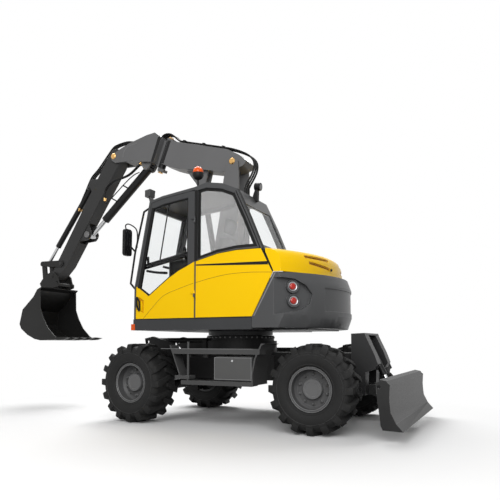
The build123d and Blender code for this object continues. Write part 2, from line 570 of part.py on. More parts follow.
# Hood over the engine: a shell hinged at its front edge, its back turned about a flatter axis
# than the tail's, from (radius, z), with two louvres each side
HOOD_FRONT = -915
HOOD_HINGE = (-925, 2256)
HOOD_PIN_RADIUS = 8
HOOD_TOP = 2298
HOOD_BOTTOM = WEIGHT_TOP + SEAM
HOOD_BACK = [(0, HOOD_BOTTOM), (2020, HOOD_BOTTOM), (2018, 2080), (2008, 2150), (1990, 2200),
             (1960, 2240), (1910, 2270), (1820, 2292), (1700, HOOD_TOP), (0, HOOD_TOP)]
HOOD_SIDE = [(HOOD_FRONT, 2240), (HOOD_FRONT, 2290), (-1150, HOOD_TOP + 1), (-1600, HOOD_TOP + 1),
             (-1600, HOOD_BOTTOM), (-1030, HOOD_BOTTOM)]
HOOD_INSIDE = [(-900, HOOD_BOTTOM - 100), (-900, 2290 - HOOD_WALL), (-1150, HOOD_TOP), (-1600, HOOD_TOP),
               (-1600, HOOD_BOTTOM - 100)]
HOOD_AXIS = Axis((SLEW_X + HOOD_CENTRE, 0, 0), (0, 0, 1))
LOUVRES = [((-1300, 781, 2200), (-1446, 239, 2200)), ((-1343, 734, 2122), (-1473, 246, 2080))]
LOUVRE_HEIGHT = 42


def hood_body(inset):
    """The hood's closed form, or what is hollow in it where inset is its wall."""
    bottom = HOOD_BOTTOM - 2 * inset
    outline = HOOD_INSIDE if inset else HOOD_SIDE
    back = [(-max(radius - inset, 0), z - inset) for radius, z in HOOD_BACK[1:-1]]
    with BuildPart() as body:
        with BuildSketch(side_plane(SLEW_X + HOOD_CENTRE, 0)):
            Polygon((0, bottom), (back[0][0], bottom), *back[1:], (0, back[-1][1]), align=None)
        revolve(axis=HOOD_AXIS)
        slab(outline, TURRET_HALF_WIDTH - inset, inset - TURRET_HALF_WIDTH, mode=Mode.INTERSECT)
    return body.part


with BuildPart() as hood:
    add(hood_body(0))
    add(hood_body(HOOD_WALL), mode=Mode.SUBTRACT)
    for side in (-1, 1):
        for front, rear in LOUVRES:
            ends = [Vector(SLEW_X + x, side * y, z) for x, y, z in (front, rear)]
            run = ends[1] - ends[0]
            across_run = run.cross(Vector(0, 0, 1)).normalized()
            with BuildSketch(Plane(origin=(ends[0] + ends[1]) / 2, x_dir=run, z_dir=across_run)):
                Rectangle(run.length, LOUVRE_HEIGHT)
            extrude(amount=60, both=True, mode=Mode.SUBTRACT)
    cross_bar(HOOD_HINGE, HOOD_PIN_RADIUS, TURRET_HALF_WIDTH - HOOD_WALL / 2,
              HOOD_WALL / 2 - TURRET_HALF_WIDTH)
save(hood, "hood")

# Engine and its bulkhead, one plain block on the deck's tail, with the hood's hinge brackets
ENGINE_HALF = TAIL_HALF - 140
HOOD_BRACKET = [(-1040, 1895), (-937, 2250), (-932, 2265), (-918, 2265), (-911, 2250), (-800, 1895)]
with BuildPart() as engine:
    block((-1280, DECK_REAR - 10), (-ENGINE_HALF, ENGINE_HALF),
          (DECK_BOTTOM + DECK_PLATE + SEAT_GAP, 1900), SLEW_X)
    for bracket_left in (420, -300):
        slab(HOOD_BRACKET, bracket_left, bracket_left - 20)
    cross_bar(HOOD_HINGE, HOOD_PIN_RADIUS + PIN_GAP, 420, -420, mode=Mode.SUBTRACT)
save(engine, "engine")

# Cab: side outline, and the outline of its hollow
CAB_FLOOR = SEAT_Z + 30
CAB_OUTLINE = [(1090, SEAT_Z), (1090, 1868), (855, 3075), (640, 3125), (120, 3190), (-60, 3232),
               (-300, 3190), (-520, 3092), (-700, 2710), (-886, 2262), (-560, 2262), (-560, SEAT_Z)]
CAB_HOLLOW = [(1045, CAB_FLOOR), (1045, 1864), (818, 3032), (630, 3078), (115, 3143), (-60, 3182),
              (-280, 3146), (-480, 3062), (-655, 2690), (-815, 2307), (-515, 2307), (-515, CAB_FLOOR)]
DOOR_OUTLINE = [(DOOR_REAR, 1426), (DOOR_REAR, 3138), (DOOR_REAR + 64, 3138), (640, 3082),
                (822, 3040), (1058, 1862), (1058, 1426)]
DOOR_CUT = [(DOOR_REAR - DOOR_GAP, DECK_TOP), (DOOR_REAR - DOOR_GAP, 3152), (642, 3089),
            (828, 3045), (1064, 1862), (1064, DECK_TOP)]
DOOR_WINDOW = [(1000, 1845), (844, 1738), (690, 1850), (526, 1968), (360, 2066), (222, 2125),
               (222, 3055), (600, 3012), (790, 2965)]
QUARTER_WINDOW = [(70, 2200), (-230, 2275), (-500, 2308), (-800, 2312), (-640, 2690), (-478, 3040),
                  (-290, 3120), (-60, 3160), (70, 3140)]
PANEL_FRONT = DOOR_REAR - 24
PANEL_OUTLINE = [(PANEL_FRONT, 1426), (PANEL_FRONT, 2176), (-230, 2256), (-500, 2284),
                 (-858, 2284), (-1018, 1982), (-727, 1426)]
PANEL_RECESS = [(PANEL_FRONT, 1300), (PANEL_FRONT, 2180), (-230, 2262), (-500, 2290),
                (-1000, 2290), (-1000, 1300)]
RIGHT_WINDOW = [(960, 1700), (40, 1700), (-90, 2150), (-440, 2230), (-740, 2330), (-600, 2660),
                (-440, 3010), (-60, 3110), (40, 3090), (610, 3030), (775, 2960), (985, 1880)]
FRONT_OPENING = [(1200, 1560), (980, 1560), (980, 1880), (775, 2960), (1200, 2960)]
REAR_OPENING = [(-900, 2340), (-745, 2340), (-500, 2900), (-900, 2900)]
SIDE_FRAME = 80
DOOR_HINGE_X = DOOR_REAR - 8
DOOR_HINGE_Y = CAB_LEFT + 14
DOOR_HINGE_RADIUS = 12
DOOR_HINGE_PIN = 6
DOOR_HINGE_LEVELS = (1700, 2700)
PANE_INSET = 18

with BuildPart() as cab:
    slab(CAB_OUTLINE, CAB_LEFT, CAB_RIGHT)
    slab(CAB_HOLLOW, CAB_LEFT - CAB_WALL, CAB_RIGHT + CAB_WALL, mode=Mode.SUBTRACT)
    for opening in (DOOR_CUT, QUARTER_WINDOW):
        slab(opening, CAB_LEFT + 1, CAB_LEFT - CAB_WALL - MOVING_GAP, mode=Mode.SUBTRACT)
    slab(PANEL_RECESS, CAB_LEFT + 1, CAB_LEFT - SKIRT_PLATE - SEAT_GAP, mode=Mode.SUBTRACT)
    slab(RIGHT_WINDOW, CAB_RIGHT + CAB_WALL + 1, CAB_RIGHT - 1, mode=Mode.SUBTRACT)
    for opening in (FRONT_OPENING, REAR_OPENING):
        slab(opening, CAB_LEFT - SIDE_FRAME, CAB_RIGHT + SIDE_FRAME, mode=Mode.SUBTRACT)
    for level in DOOR_HINGE_LEVELS:
        block((DOOR_REAR - 22, DOOR_HINGE_X), (CAB_LEFT - 2, DOOR_HINGE_Y + 8), (level, level + 40),
              SLEW_X)
        post((SLEW_X + DOOR_HINGE_X, DOOR_HINGE_Y), DOOR_HINGE_RADIUS, (level, level + 40))
        post((SLEW_X + DOOR_HINGE_X, DOOR_HINGE_Y), DOOR_HINGE_PIN, (level, level + 84))
save(cab, "cab")

# Glass: one pane in each opening of the cab, its edges against the frame
with BuildPart() as windscreen:
    slab([(1072, 1560), (1072 + GLASS, 1560), (1072 + GLASS, 1869), (866, 2960), (860, 2960),
          (1072, 1869)], CAB_LEFT - SIDE_FRAME, CAB_RIGHT + SIDE_FRAME)
save(windscreen, "windscreen")
with BuildPart() as quarter_glass:
    slab(QUARTER_WINDOW, CAB_LEFT - PANE_INSET, CAB_LEFT - PANE_INSET - GLASS)
save(quarter_glass, "quarter_glass")
with BuildPart() as right_glass:
    slab(RIGHT_WINDOW, CAB_RIGHT + PANE_INSET + GLASS, CAB_RIGHT + PANE_INSET)
save(right_glass, "right_glass")
with BuildPart() as rear_glass:
    slab([(-842, 2340), (-835, 2340), (-595, 2900), (-602, 2900)], CAB_LEFT - SIDE_FRAME,
         CAB_RIGHT + SIDE_FRAME)
save(rear_glass, "rear_glass")

# Door: a whole wall's thickness, with its window cut, its pane and its handle
with BuildPart() as door:
    slab(DOOR_OUTLINE, CAB_LEFT, CAB_LEFT - CAB_WALL)
    slab(DOOR_WINDOW, CAB_LEFT + 1, CAB_LEFT - CAB_WALL - 1, mode=Mode.SUBTRACT)
    slab([(930, 1500), (930, 1680), (1010, 1730), (1010, 1560)], CAB_LEFT + 1, CAB_LEFT - 22,
         mode=Mode.SUBTRACT)
    slab([(955, 1530), (955, 1660), (985, 1680), (985, 1550)], CAB_LEFT - 4, CAB_LEFT - 22)
    for level in DOOR_HINGE_LEVELS:
        block((DOOR_REAR - 2, DOOR_REAR + 40), (CAB_LEFT, DOOR_HINGE_Y + 8), (level + 46, level + 86),
              SLEW_X)
        post((SLEW_X + DOOR_HINGE_X, DOOR_HINGE_Y), DOOR_HINGE_RADIUS, (level + 46, level + 86))
        post((SLEW_X + DOOR_HINGE_X, DOOR_HINGE_Y), DOOR_HINGE_PIN + PIN_GAP, (level + 40, level + 90),
             mode=Mode.SUBTRACT)
save(door, "door")
with BuildPart() as door_glass:
    slab(DOOR_WINDOW, CAB_LEFT - PANE_INSET, CAB_LEFT - PANE_INSET - GLASS)
save(door_glass, "door_glass")

# Side panels: the left skin behind the door, and the closed body with the tanks on the right
with BuildPart() as side_panel:
    slab(PANEL_OUTLINE, TURRET_HALF_WIDTH, TURRET_HALF_WIDTH - SKIRT_PLATE)
save(side_panel, "side_panel")
RIGHT_BODY_INSIDE = foot_right - ARM_PLATE - 20
RIGHT_BODY = [(1050, SEAT_Z), (1050, 1560), (620, 1600), (600, 1950), (-100, 2060), (-864, 2236),
              (-1018, 1982), (DECK_REAR, SEAT_Z)]
with BuildPart() as right_body:
    slab(RIGHT_BODY, RIGHT_BODY_INSIDE, -TURRET_HALF_WIDTH)
    block((-1300, DECK_REAR), (-ENGINE_HALF - 10, 0), (1300, 1910), SLEW_X, mode=Mode.SUBTRACT)
save(right_body, "right_body")

# Cab inside: seat on its base, and the consoles with the steering column on one floor plate
SEAT_Y = (CAB_LEFT + CAB_RIGHT) / 2
FLOOR_HALF = (CAB_LEFT - CAB_RIGHT) / 2 - CAB_WALL - 55
SEAT_HALF = FLOOR_HALF - 132
FLOOR_PLATE = (CAB_FLOOR + SEAT_GAP, CAB_FLOOR + 15)
with BuildPart() as seat:
    block((-120, 330), (SEAT_Y - SEAT_HALF + 50, SEAT_Y + SEAT_HALF - 50),
          (FLOOR_PLATE[1] + SEAT_GAP, 1800), SLEW_X)
    block((-150, 380), (SEAT_Y - SEAT_HALF, SEAT_Y + SEAT_HALF), (1800, 1930), SLEW_X)
    slab([(-60, 1900), (-210, 2560), (-120, 2590), (60, 1900)], SEAT_Y + SEAT_HALF - 10,
         SEAT_Y - SEAT_HALF + 10)
    slab([(-215, 2600), (-245, 2810), (-155, 2830), (-110, 2590), (-190, 2560)],
         SEAT_Y + SEAT_HALF - 100, SEAT_Y - SEAT_HALF + 100)
save(seat, "seat")
with BuildPart() as console:
    block((-140, 1000), (SEAT_Y - FLOOR_HALF, SEAT_Y + FLOOR_HALF), FLOOR_PLATE, SLEW_X)
    for side in (-1, 1):
        ys = sorted((SEAT_Y + side * (SEAT_HALF + 20), SEAT_Y + side * (FLOOR_HALF - 5)))
        block((-100, 420), ys, (FLOOR_PLATE[0], 2090), SLEW_X)
        post((SLEW_X + 350, sum(ys) / 2), 22, (2090, 2260))
    block((790, 960), (SEAT_Y - 90, SEAT_Y + 90), (FLOOR_PLATE[0], 1560), SLEW_X)
    bar((SLEW_X + 880, SEAT_Y, 1540), (SLEW_X + 720, SEAT_Y, 2150), 50)
    bar((SLEW_X + 722, SEAT_Y, 2140), (SLEW_X + 714, SEAT_Y, 2170), 190)
    bar((SLEW_X + 724, SEAT_Y, 2130), (SLEW_X + 712, SEAT_Y, 2180), 162, mode=Mode.SUBTRACT)
    bar((SLEW_X + 718, SEAT_Y - 175, 2153), (SLEW_X + 718, SEAT_Y + 175, 2153), 12)
    bar((SLEW_X + 732, SEAT_Y, 2100), (SLEW_X + 718, SEAT_Y, 2160), 40)
save(console, "console")

# Work lamps on brackets at the cab's roof, and the amber beacon on its stem
LAMP_RADIUS = 55
LAMP_FRONT = [(905, 3170), (895, 3275), (985, 3262), (985, 3165)]
LAMP_REAR_Y = SEAT_Y - 50
with BuildPart() as lamp_front:
    slab([(850, 3016), (900, 3016), (952, 3180), (920, 3180), (850, 3075)], CAB_LEFT - 95,
         CAB_LEFT - 155)
    slab(LAMP_FRONT, CAB_LEFT - 60, CAB_LEFT - 190)
    slab(CAB_OUTLINE, CAB_LEFT, CAB_RIGHT, x=SLEW_X + SEAT_GAP, mode=Mode.SUBTRACT)
save(lamp_front, "lamp_front")
with BuildPart() as lamp_rear:
    slab([(-500, 3080), (-545, 3200), (-585, 3200), (-580, 3040), (-540, 3030)],
         LAMP_REAR_Y + 30, LAMP_REAR_Y - 30)
    bar((SLEW_X - 540, LAMP_REAR_Y, 3245), (SLEW_X - 620, LAMP_REAR_Y, 3235), LAMP_RADIUS)
    slab(CAB_OUTLINE, CAB_LEFT, CAB_RIGHT, x=SLEW_X - SEAT_GAP, mode=Mode.SUBTRACT)
save(lamp_rear, "lamp_rear")
BEACON = (190, CAB_LEFT - 200)
ROOF_AT_BEACON = 3181.3
BEACON_FOOT = [(140, ROOF_AT_BEACON + 6.3), (140, ROOF_AT_BEACON + 25), (240, ROOF_AT_BEACON + 15),
               (240, ROOF_AT_BEACON - 6)]
BEACON_SECTION = [(0, ROOF_AT_BEACON + 10), (14, ROOF_AT_BEACON + 10), (14, 3350), (30, 3352),
                  (70, 3400), (70, 3425), (64, 3426), (64, 3500), (44, 3532), (0, 3540)]
with BuildPart() as beacon:
    slab(BEACON_FOOT, BEACON[1] + 50, BEACON[1] - 50)
    with BuildSketch(side_plane(SLEW_X + BEACON[0], BEACON[1])):
        Polygon(*BEACON_SECTION, align=None)
    revolve(axis=Axis((SLEW_X + BEACON[0], BEACON[1], 0), (0, 0, 1)))
save(beacon, "beacon")

# Rail along the cab's front corner, with the mirror on its arm
RAIL = [(850, 3000), (970, 2940), (1110, 2380), (1180, 1930), (1080, 1830)]
RAIL_Y = CAB_LEFT - 30
RAIL_RADIUS = 14
with BuildPart() as mirror:
    for start, end in zip(RAIL, RAIL[1:]):
        bar((SLEW_X + start[0], RAIL_Y, start[1]), (SLEW_X + end[0], RAIL_Y, end[1]), RAIL_RADIUS)
    for corner in RAIL[1:-1]:
        with Locations((SLEW_X + corner[0], RAIL_Y, corner[1])):
            Sphere(RAIL_RADIUS)
    bar((SLEW_X + 1110, RAIL_Y, 2380), (SLEW_X + 1180, RAIL_Y + 100, 2500), RAIL_RADIUS - 2)
    with BuildSketch(Plane.YZ.offset(SLEW_X + 1155)):
        with Locations((CAB_LEFT + 69, 2501)):
            RectangleRounded(158, 378, 40)
    extrude(amount=45)
    slab(CAB_OUTLINE, CAB_LEFT, CAB_RIGHT, x=SLEW_X + SEAT_GAP, mode=Mode.SUBTRACT)
save(mirror, "mirror")


def arm_slab(start, end, points, left, right, mode=Mode.ADD):
    """Add an outline given along the line between two pins: distance along it, and off it."""
    with BuildSketch(arm_plane(start, end, left)) as outline:
        Polygon(*points, align=None)
    extrude(outline.sketch, amount=left - right, mode=mode)


def pair(inner, outer):
    """The two y spans, left edge first, of plates on both sides of the arm's middle."""
    return [(ARM_Y + outer, ARM_Y + inner), (ARM_Y - inner, ARM_Y - outer)]


# Lower boom: two side plates with a web behind, open in front for the fold ram
MID_HALF = MID_BOOM_WIDTH / 2
BOOM_PLATE_INSIDE = MID_HALF + MOVING_GAP
FOLD_RAM_FOOT = (430, 1950)
LIFT_RAM_EYE = (330, 2450)
RAM_PIN_RADIUS = 30
LOWER_BOOM = [(135, 1530), (120, 1650), (10, 2300), (0, 3500), (15, 3870), (115, 3945), (205, 3870),
              (262, 3606), (330, 3000), (430, 2480), (520, 2050), (520, 1900), (345, 1600),
              (315, 1500), (230, 1444), (150, 1480)]
LIFT_EAR = [(30, 2370), (30, 2540), (300, 2525), (385, 2490), (385, 2410), (300, 2360)]
with BuildPart() as lower_boom:
    for span in pair(BOOM_PLATE_INSIDE, LOWER_HALF):
        slab(LOWER_BOOM, *span)
    slab([(112, 1650), (10, 2300), (0, 3400), (40, 3400), (50, 2300), (152, 1650)],
         ARM_Y + LOWER_HALF, ARM_Y - LOWER_HALF)
    cross_bar(FOOT_PIN, 84, ARM_Y + LOWER_HALF, ARM_Y - LOWER_HALF)
    cross_bar(FOOT_PIN, PIN_RADIUS + PIN_GAP, ARM_Y + LOWER_HALF, ARM_Y - LOWER_HALF,
              mode=Mode.SUBTRACT)
    cross_bar(ELBOW_PIN, PIN_RADIUS, ARM_Y + LOWER_HALF + 14, ARM_Y - LOWER_HALF - 14)
    cross_bar(FOLD_RAM_FOOT, RAM_PIN_RADIUS, ARM_Y + LOWER_HALF, ARM_Y - LOWER_HALF)
    slab(LIFT_EAR, ARM_Y + 49, ARM_Y - 49)
save(lower_boom, "lower_boom")

# Hydraulic hoses in clamps, down the lower boom's back and along the top of the boom above it:
# two (x, z) points of the surface under them, each clamp's distance, and each hose's y
HOSE_RADIUS = 15
HOSE_RISE = 42
CLAMP_LENGTH = 46
CLAMP_BORDER = 22
HOSE_SETS = {
    "lower_hoses": ((-0.7, 3470), (9.4, 2360), (90, 560, 1040), (-64, 0, 64)),
    "boom_hoses": ((1160, 4363.5), (250, 4102.8), (70, 450, 820), (-64, -21, 21, 64)),
}
for name, (start, end, clamps, spread) in HOSE_SETS.items():
    length = hypot(end[0] - start[0], end[1] - start[1])
    first, last = along(start, end, 0, -HOSE_RISE), along(start, end, length, -HOSE_RISE)
    with BuildPart() as hoses:
        for offset in spread:
            bar((SLEW_X + first[0], ARM_Y + offset, first[1]),
                (SLEW_X + last[0], ARM_Y + offset, last[1]), HOSE_RADIUS)
        for clamp in clamps:
            inner, outer = -SEAT_GAP, -HOSE_RISE - CLAMP_BORDER
            slab([along(start, end, clamp, inner), along(start, end, clamp + CLAMP_LENGTH, inner),
                  along(start, end, clamp + CLAMP_LENGTH, outer), along(start, end, clamp, outer)],
                 ARM_Y + max(spread) + CLAMP_BORDER, ARM_Y + min(spread) - CLAMP_BORDER)
    save(hoses, name)

# Middle boom's rear part: box on the elbow pin, with the fork of the offset hinge in front
MID_REAR = [(-110, 3861), (-60, 3800), (60, 3760), (298, 3749), (633, 3825), (1120, 3905),
            (1294, 3967), (1464, 4050), (1319, 4421), (1250, 4395), (1176, 4368), (223, 4095),
            (18, 3977)]
FOLD_RAM_EYE = (740, 3640)
FOLD_EAR = [(600, 3830), (650, 3640), (700, 3585), (790, 3585), (830, 3650), (1000, 3870)]
HINGE = (OFFSET_TOP, OFFSET_BOTTOM)
HINGE_LENGTH = hypot(OFFSET_BOTTOM[0] - OFFSET_TOP[0], OFFSET_BOTTOM[1] - OFFSET_TOP[1])
HINGE_LUG = 45
HINGE_RADIUS = 60
HINGE_SET_BACK = HINGE_RADIUS + MOVING_GAP


def hinge_point(distance):
    """A point of the offset hinge's axis, so far from its top towards its bottom."""
    x, z = along(*HINGE, distance)
    return (SLEW_X + x, ARM_Y, z)


def hinge_bar(first, last, radius, mode=Mode.ADD):
    """Add a round bar on the offset hinge's axis."""
    bar(hinge_point(first), hinge_point(last), radius, mode)


RAM_CLEAR = 54
with BuildPart() as mid_boom_rear:
    slab(MID_REAR, ARM_Y + MID_HALF, ARM_Y - MID_HALF)
    cross_bar(ELBOW_PIN, PIN_RADIUS + PIN_GAP, ARM_Y + MID_HALF, ARM_Y - MID_HALF,
              mode=Mode.SUBTRACT)
    for span in pair(RAM_CLEAR, RAM_CLEAR + ARM_PLATE):
        slab(FOLD_EAR, *span)
    for first, last in ((-25, HINGE_LUG - 25), (HINGE_LENGTH - 20, HINGE_LENGTH + HINGE_LUG - 20)):
        arm_slab(*HINGE, [(first, 0), (first, -90), (last, -90), (last, 0)], ARM_Y + HINGE_RADIUS,
                 ARM_Y - HINGE_RADIUS)
        hinge_bar(first, last, HINGE_RADIUS)
    hinge_bar(-40, HINGE_LENGTH + 40, PIN_RADIUS)
save(mid_boom_rear, "mid_boom_rear")

# Middle boom's front part: box with the hinge's barrel behind and a fork for the stick in front
MID_FRONT = [(1452, 4490), (1586, 4590), (1750, 4572), (2130, 4482), (2345, 4400), (2508, 4323),
             (2480, 4240), (2400, 4185), (2010, 4175), (1830, 4125), (1600, 4090)]
FORK_START = 2200
STICK_HALF = STICK_WIDTH / 2
STICK_RAM_FOOT = (1800, 4050)
STICK_RAM_CLEAR = 78
STICK_FOOT_EAR = [(1680, 4140), (1720, 4060), (1760, 4010), (1800, 3998), (1840, 4010), (1870, 4060),
                  (1890, 4150)]
FORK_CUT = [(FORK_START, 4000), (FORK_START, 4700), (2600, 4700), (2600, 4000)]
with BuildPart() as mid_boom_front:
    slab(MID_FRONT, ARM_Y + MID_HALF, ARM_Y - MID_HALF)
    slab(FORK_CUT, ARM_Y + MID_HALF - ARM_PLATE, ARM_Y - MID_HALF + ARM_PLATE, mode=Mode.SUBTRACT)
    barrel_span = (HINGE_LUG - 25 + MOVING_GAP, HINGE_LENGTH - 20 - MOVING_GAP)
    arm_slab(*HINGE, [(barrel_span[0], 0), (barrel_span[0], 90), (barrel_span[1] - 30, 90),
                      (barrel_span[1], 60), (barrel_span[1], 0)], ARM_Y + HINGE_RADIUS - 10,
             ARM_Y - HINGE_RADIUS + 10)
    hinge_bar(*barrel_span, HINGE_RADIUS)
    hinge_bar(*barrel_span, PIN_RADIUS + PIN_GAP, mode=Mode.SUBTRACT)
    for span in pair(STICK_RAM_CLEAR, STICK_RAM_CLEAR + ARM_PLATE):
        slab(STICK_FOOT_EAR, *span)
    cross_bar(STICK_RAM_FOOT, RAM_PIN_RADIUS, ARM_Y + STICK_RAM_CLEAR + ARM_PLATE,
              ARM_Y - STICK_RAM_CLEAR - ARM_PLATE)
    cross_bar(STICK_PIN, PIN_RADIUS, ARM_Y + MID_HALF + 14, ARM_Y - MID_HALF - 14)
save(mid_boom_front, "mid_boom_front")

# Stick: a tapered box, outline as (distance from its pin, offset to the front)
STICK = (STICK_PIN, BUCKET_PIN)
STICK_LENGTH = hypot(BUCKET_PIN[0] - STICK_PIN[0], BUCKET_PIN[1] - STICK_PIN[1])
STICK_OUTLINE = [(0, 138), (356, 132), (2191, 85), (STICK_LENGTH, 68), (STICK_LENGTH, -68),
                 (2127, -136), (109, -147), (0, -138)]
STICK_RAM_EYE = along(*STICK, 1430, -245)
STICK_RAM_EAR = [(1240, -120), (1370, -290), (1430, -305), (1490, -290), (1620, -120)]
BUCKET_RAM_FOOT = along(*STICK, 620, 265)
BUCKET_RAM_CLEAR = 56
BUCKET_RAM_EAR = [(470, 110), (575, 300), (620, 315), (665, 300), (770, 110)]
HEAD_RADIUS = 140
NOSE_RADIUS = 70
BUCKET_PIN_RADIUS = 32
LEVER_INSIDE = STICK_HALF + MOVING_GAP
LEVER_PLATE = 20
COUPLER_INSIDE = LEVER_INSIDE + LEVER_PLATE + MOVING_GAP
STICK_POCKET = [(1240, -200), (1240, -80), (1640, -80), (1640, -200)]
with BuildPart() as stick:
    arm_slab(*STICK, STICK_OUTLINE, ARM_Y + STICK_HALF, ARM_Y - STICK_HALF)
    cross_bar(STICK_PIN, HEAD_RADIUS, ARM_Y + STICK_HALF, ARM_Y - STICK_HALF)
    cross_bar(BUCKET_PIN, NOSE_RADIUS, ARM_Y + STICK_HALF, ARM_Y - STICK_HALF)
    for centre, radius in ((STICK_PIN, PIN_RADIUS), (BUCKET_PIN, BUCKET_PIN_RADIUS)):
        cross_bar(centre, radius + PIN_GAP, ARM_Y + STICK_HALF, ARM_Y - STICK_HALF,
                  mode=Mode.SUBTRACT)
    for span in pair(STICK_RAM_CLEAR, STICK_RAM_CLEAR + ARM_PLATE):
        arm_slab(*STICK, STICK_RAM_EAR, *span)
    arm_slab(*STICK, STICK_POCKET, ARM_Y + STICK_RAM_CLEAR, ARM_Y - STICK_RAM_CLEAR,
             mode=Mode.SUBTRACT)
    for span in pair(BUCKET_RAM_CLEAR, BUCKET_RAM_CLEAR + ARM_PLATE):
        arm_slab(*STICK, BUCKET_RAM_EAR, *span)
    cross_bar(BUCKET_RAM_FOOT, RAM_PIN_RADIUS, ARM_Y + BUCKET_RAM_CLEAR + ARM_PLATE,
              ARM_Y - BUCKET_RAM_CLEAR - ARM_PLATE)
    cross_bar(LEVER_PIN, RAM_PIN_RADIUS, ARM_Y + LEVER_INSIDE + LEVER_PLATE + 8,
              ARM_Y - LEVER_INSIDE - LEVER_PLATE - 8)
save(stick, "stick")


def link_plate(start, end, radii, left, right):
    """Add a flat link round two (x, z) pins, with the radius of each end."""
    with BuildSketch(side_plane(SLEW_X, left)) as outline:
        with Locations(start):
            Circle(radii[0])
        with Locations(end):
            Circle(radii[1])
        make_hull()
    extrude(outline.sketch, amount=left - right)


# Bucket lever: a plate on each side of the stick, joined by a tube, with a stub pin at each end
LINK_RADIUS = 45
LINK_PIN_RADIUS = 26
LINK_SPAN = (70, 110)
LEVER_TUBE = along(LEVER_PIN, LEVER_END, 290)
with BuildPart() as lever:
    for span in pair(LEVER_INSIDE, LEVER_INSIDE + LEVER_PLATE):
        link_plate(LEVER_PIN, LEVER_END, (58, LINK_RADIUS), *span)
    for span in pair(LINK_SPAN[0], LEVER_INSIDE + LEVER_PLATE):
        cross_bar(LEVER_END, LINK_PIN_RADIUS, *span)
    cross_bar(LEVER_TUBE, LINK_PIN_RADIUS, ARM_Y + LEVER_INSIDE, ARM_Y - LEVER_INSIDE)
    cross_bar(LEVER_PIN, RAM_PIN_RADIUS + PIN_GAP, ARM_Y + LEVER_INSIDE + LEVER_PLATE,
              ARM_Y - LEVER_INSIDE - LEVER_PLATE, mode=Mode.SUBTRACT)
save(lever, "lever")

# Bucket link: two plates from the lever's end down to a boss between the coupler's plates
with BuildPart() as bucket_link:
    for span in pair(*LINK_SPAN):
        link_plate(LEVER_END, LINK_PIN, (LINK_RADIUS, LINK_RADIUS), *span)
    cross_bar(LINK_PIN, LINK_RADIUS, ARM_Y + COUPLER_INSIDE - MOVING_GAP,
              ARM_Y - COUPLER_INSIDE + MOVING_GAP)
    cross_bar(along(LEVER_END, LINK_PIN, 190), LINK_PIN_RADIUS, ARM_Y + LINK_SPAN[0],
              ARM_Y - LINK_SPAN[0])
    cross_bar(LEVER_END, LINK_PIN_RADIUS + PIN_GAP, ARM_Y + LINK_SPAN[1], ARM_Y - LINK_SPAN[1],
              mode=Mode.SUBTRACT)
save(bucket_link, "bucket_link")

# Quick coupler: two plates on the bucket pin, holding the bucket's two pins
HANG_PINS = [(3650, 2140), (3855, 2085)]
HANG_PIN_RADIUS = 30
COUPLER = [(3596, 2150), (3640, 2290), (3700, 2350), (3760, 2372), (3830, 2350), (3990, 2240),
           (4050, 2165), (4010, 2090), (3920, 2040), (3850, 2040), (3760, 2090), (3650, 2088)]
with BuildPart() as coupler:
    for span in pair(COUPLER_INSIDE, COUPLER_INSIDE + ARM_PLATE):
        slab(COUPLER, *span)
    cross_bar(BUCKET_PIN, BUCKET_PIN_RADIUS, ARM_Y + COUPLER_INSIDE + ARM_PLATE + 10,
              ARM_Y - COUPLER_INSIDE - ARM_PLATE - 10)
    cross_bar((3755, 2140), 28, ARM_Y + COUPLER_INSIDE, ARM_Y - COUPLER_INSIDE)
    for centre in HANG_PINS:
        cross_bar(centre, HANG_PIN_RADIUS + PIN_GAP, ARM_Y + COUPLER_INSIDE + ARM_PLATE,
                  ARM_Y - COUPLER_INSIDE - ARM_PLATE, mode=Mode.SUBTRACT)
save(coupler, "coupler")

# Bucket: side plates, wrapped back and floor, ears with the two hanging pins, and teeth
BUCKET_HALF = BUCKET_WIDTH / 2
BUCKET_SIDE = [(3722, 2077), (3833, 2029), (3916, 1903), (4169, 1680), (4205, 1524), (4230, 1427),
               (4182, 1341), (4028, 1234), (3855, 1160), (3722, 1137), (3310, 1150), (3310, 1168),
               (3400, 1215), (3560, 1360), (3670, 1530), (3745, 1700), (3760, 2030), (3722, 2060)]
BUCKET_HOLLOW = [(3600, 2040), (3726, 2058), (3823, 2016), (3905, 1894), (4156, 1673), (4191, 1522),
                 (4215, 1428), (4172, 1351), (4021, 1247), (3851, 1174), (3720, 1151), (3300, 1168),
                 (3200, 1300)]
EAR_INSIDE = COUPLER_INSIDE + ARM_PLATE + 4
BUCKET_EAR = [(3722, 2062), (3600, 2092), (3594, 2150), (3640, 2192), (3700, 2180), (3860, 2138),
              (3912, 2100), (3950, 2000), (3905, 1900), (3826, 2018)]
TOOTH = [(3345, 1140), (3345, 1186), (3220, 1192), (3098, 1180), (3200, 1146)]
TOOTH_WIDTH = 70
TOOTH_STEPS = (-2, -1, 0, 1, 2)
TOOTH_PITCH = (BUCKET_WIDTH - TOOTH_WIDTH) / 4
with BuildPart() as bucket:
    slab(BUCKET_SIDE, ARM_Y + BUCKET_HALF, ARM_Y - BUCKET_HALF)
    slab(BUCKET_HOLLOW, ARM_Y + BUCKET_HALF - BUCKET_PLATE, ARM_Y - BUCKET_HALF + BUCKET_PLATE,
         mode=Mode.SUBTRACT)
    for span in pair(EAR_INSIDE, EAR_INSIDE + ARM_PLATE):
        slab(BUCKET_EAR, *span)
    for centre in HANG_PINS:
        cross_bar(centre, HANG_PIN_RADIUS, ARM_Y + EAR_INSIDE + ARM_PLATE,
                  ARM_Y - EAR_INSIDE - ARM_PLATE)
    for step in TOOTH_STEPS:
        middle = ARM_Y + step * TOOTH_PITCH
        slab(TOOTH, middle + TOOTH_WIDTH / 2, middle - TOOTH_WIDTH / 2)
save(bucket, "bucket")

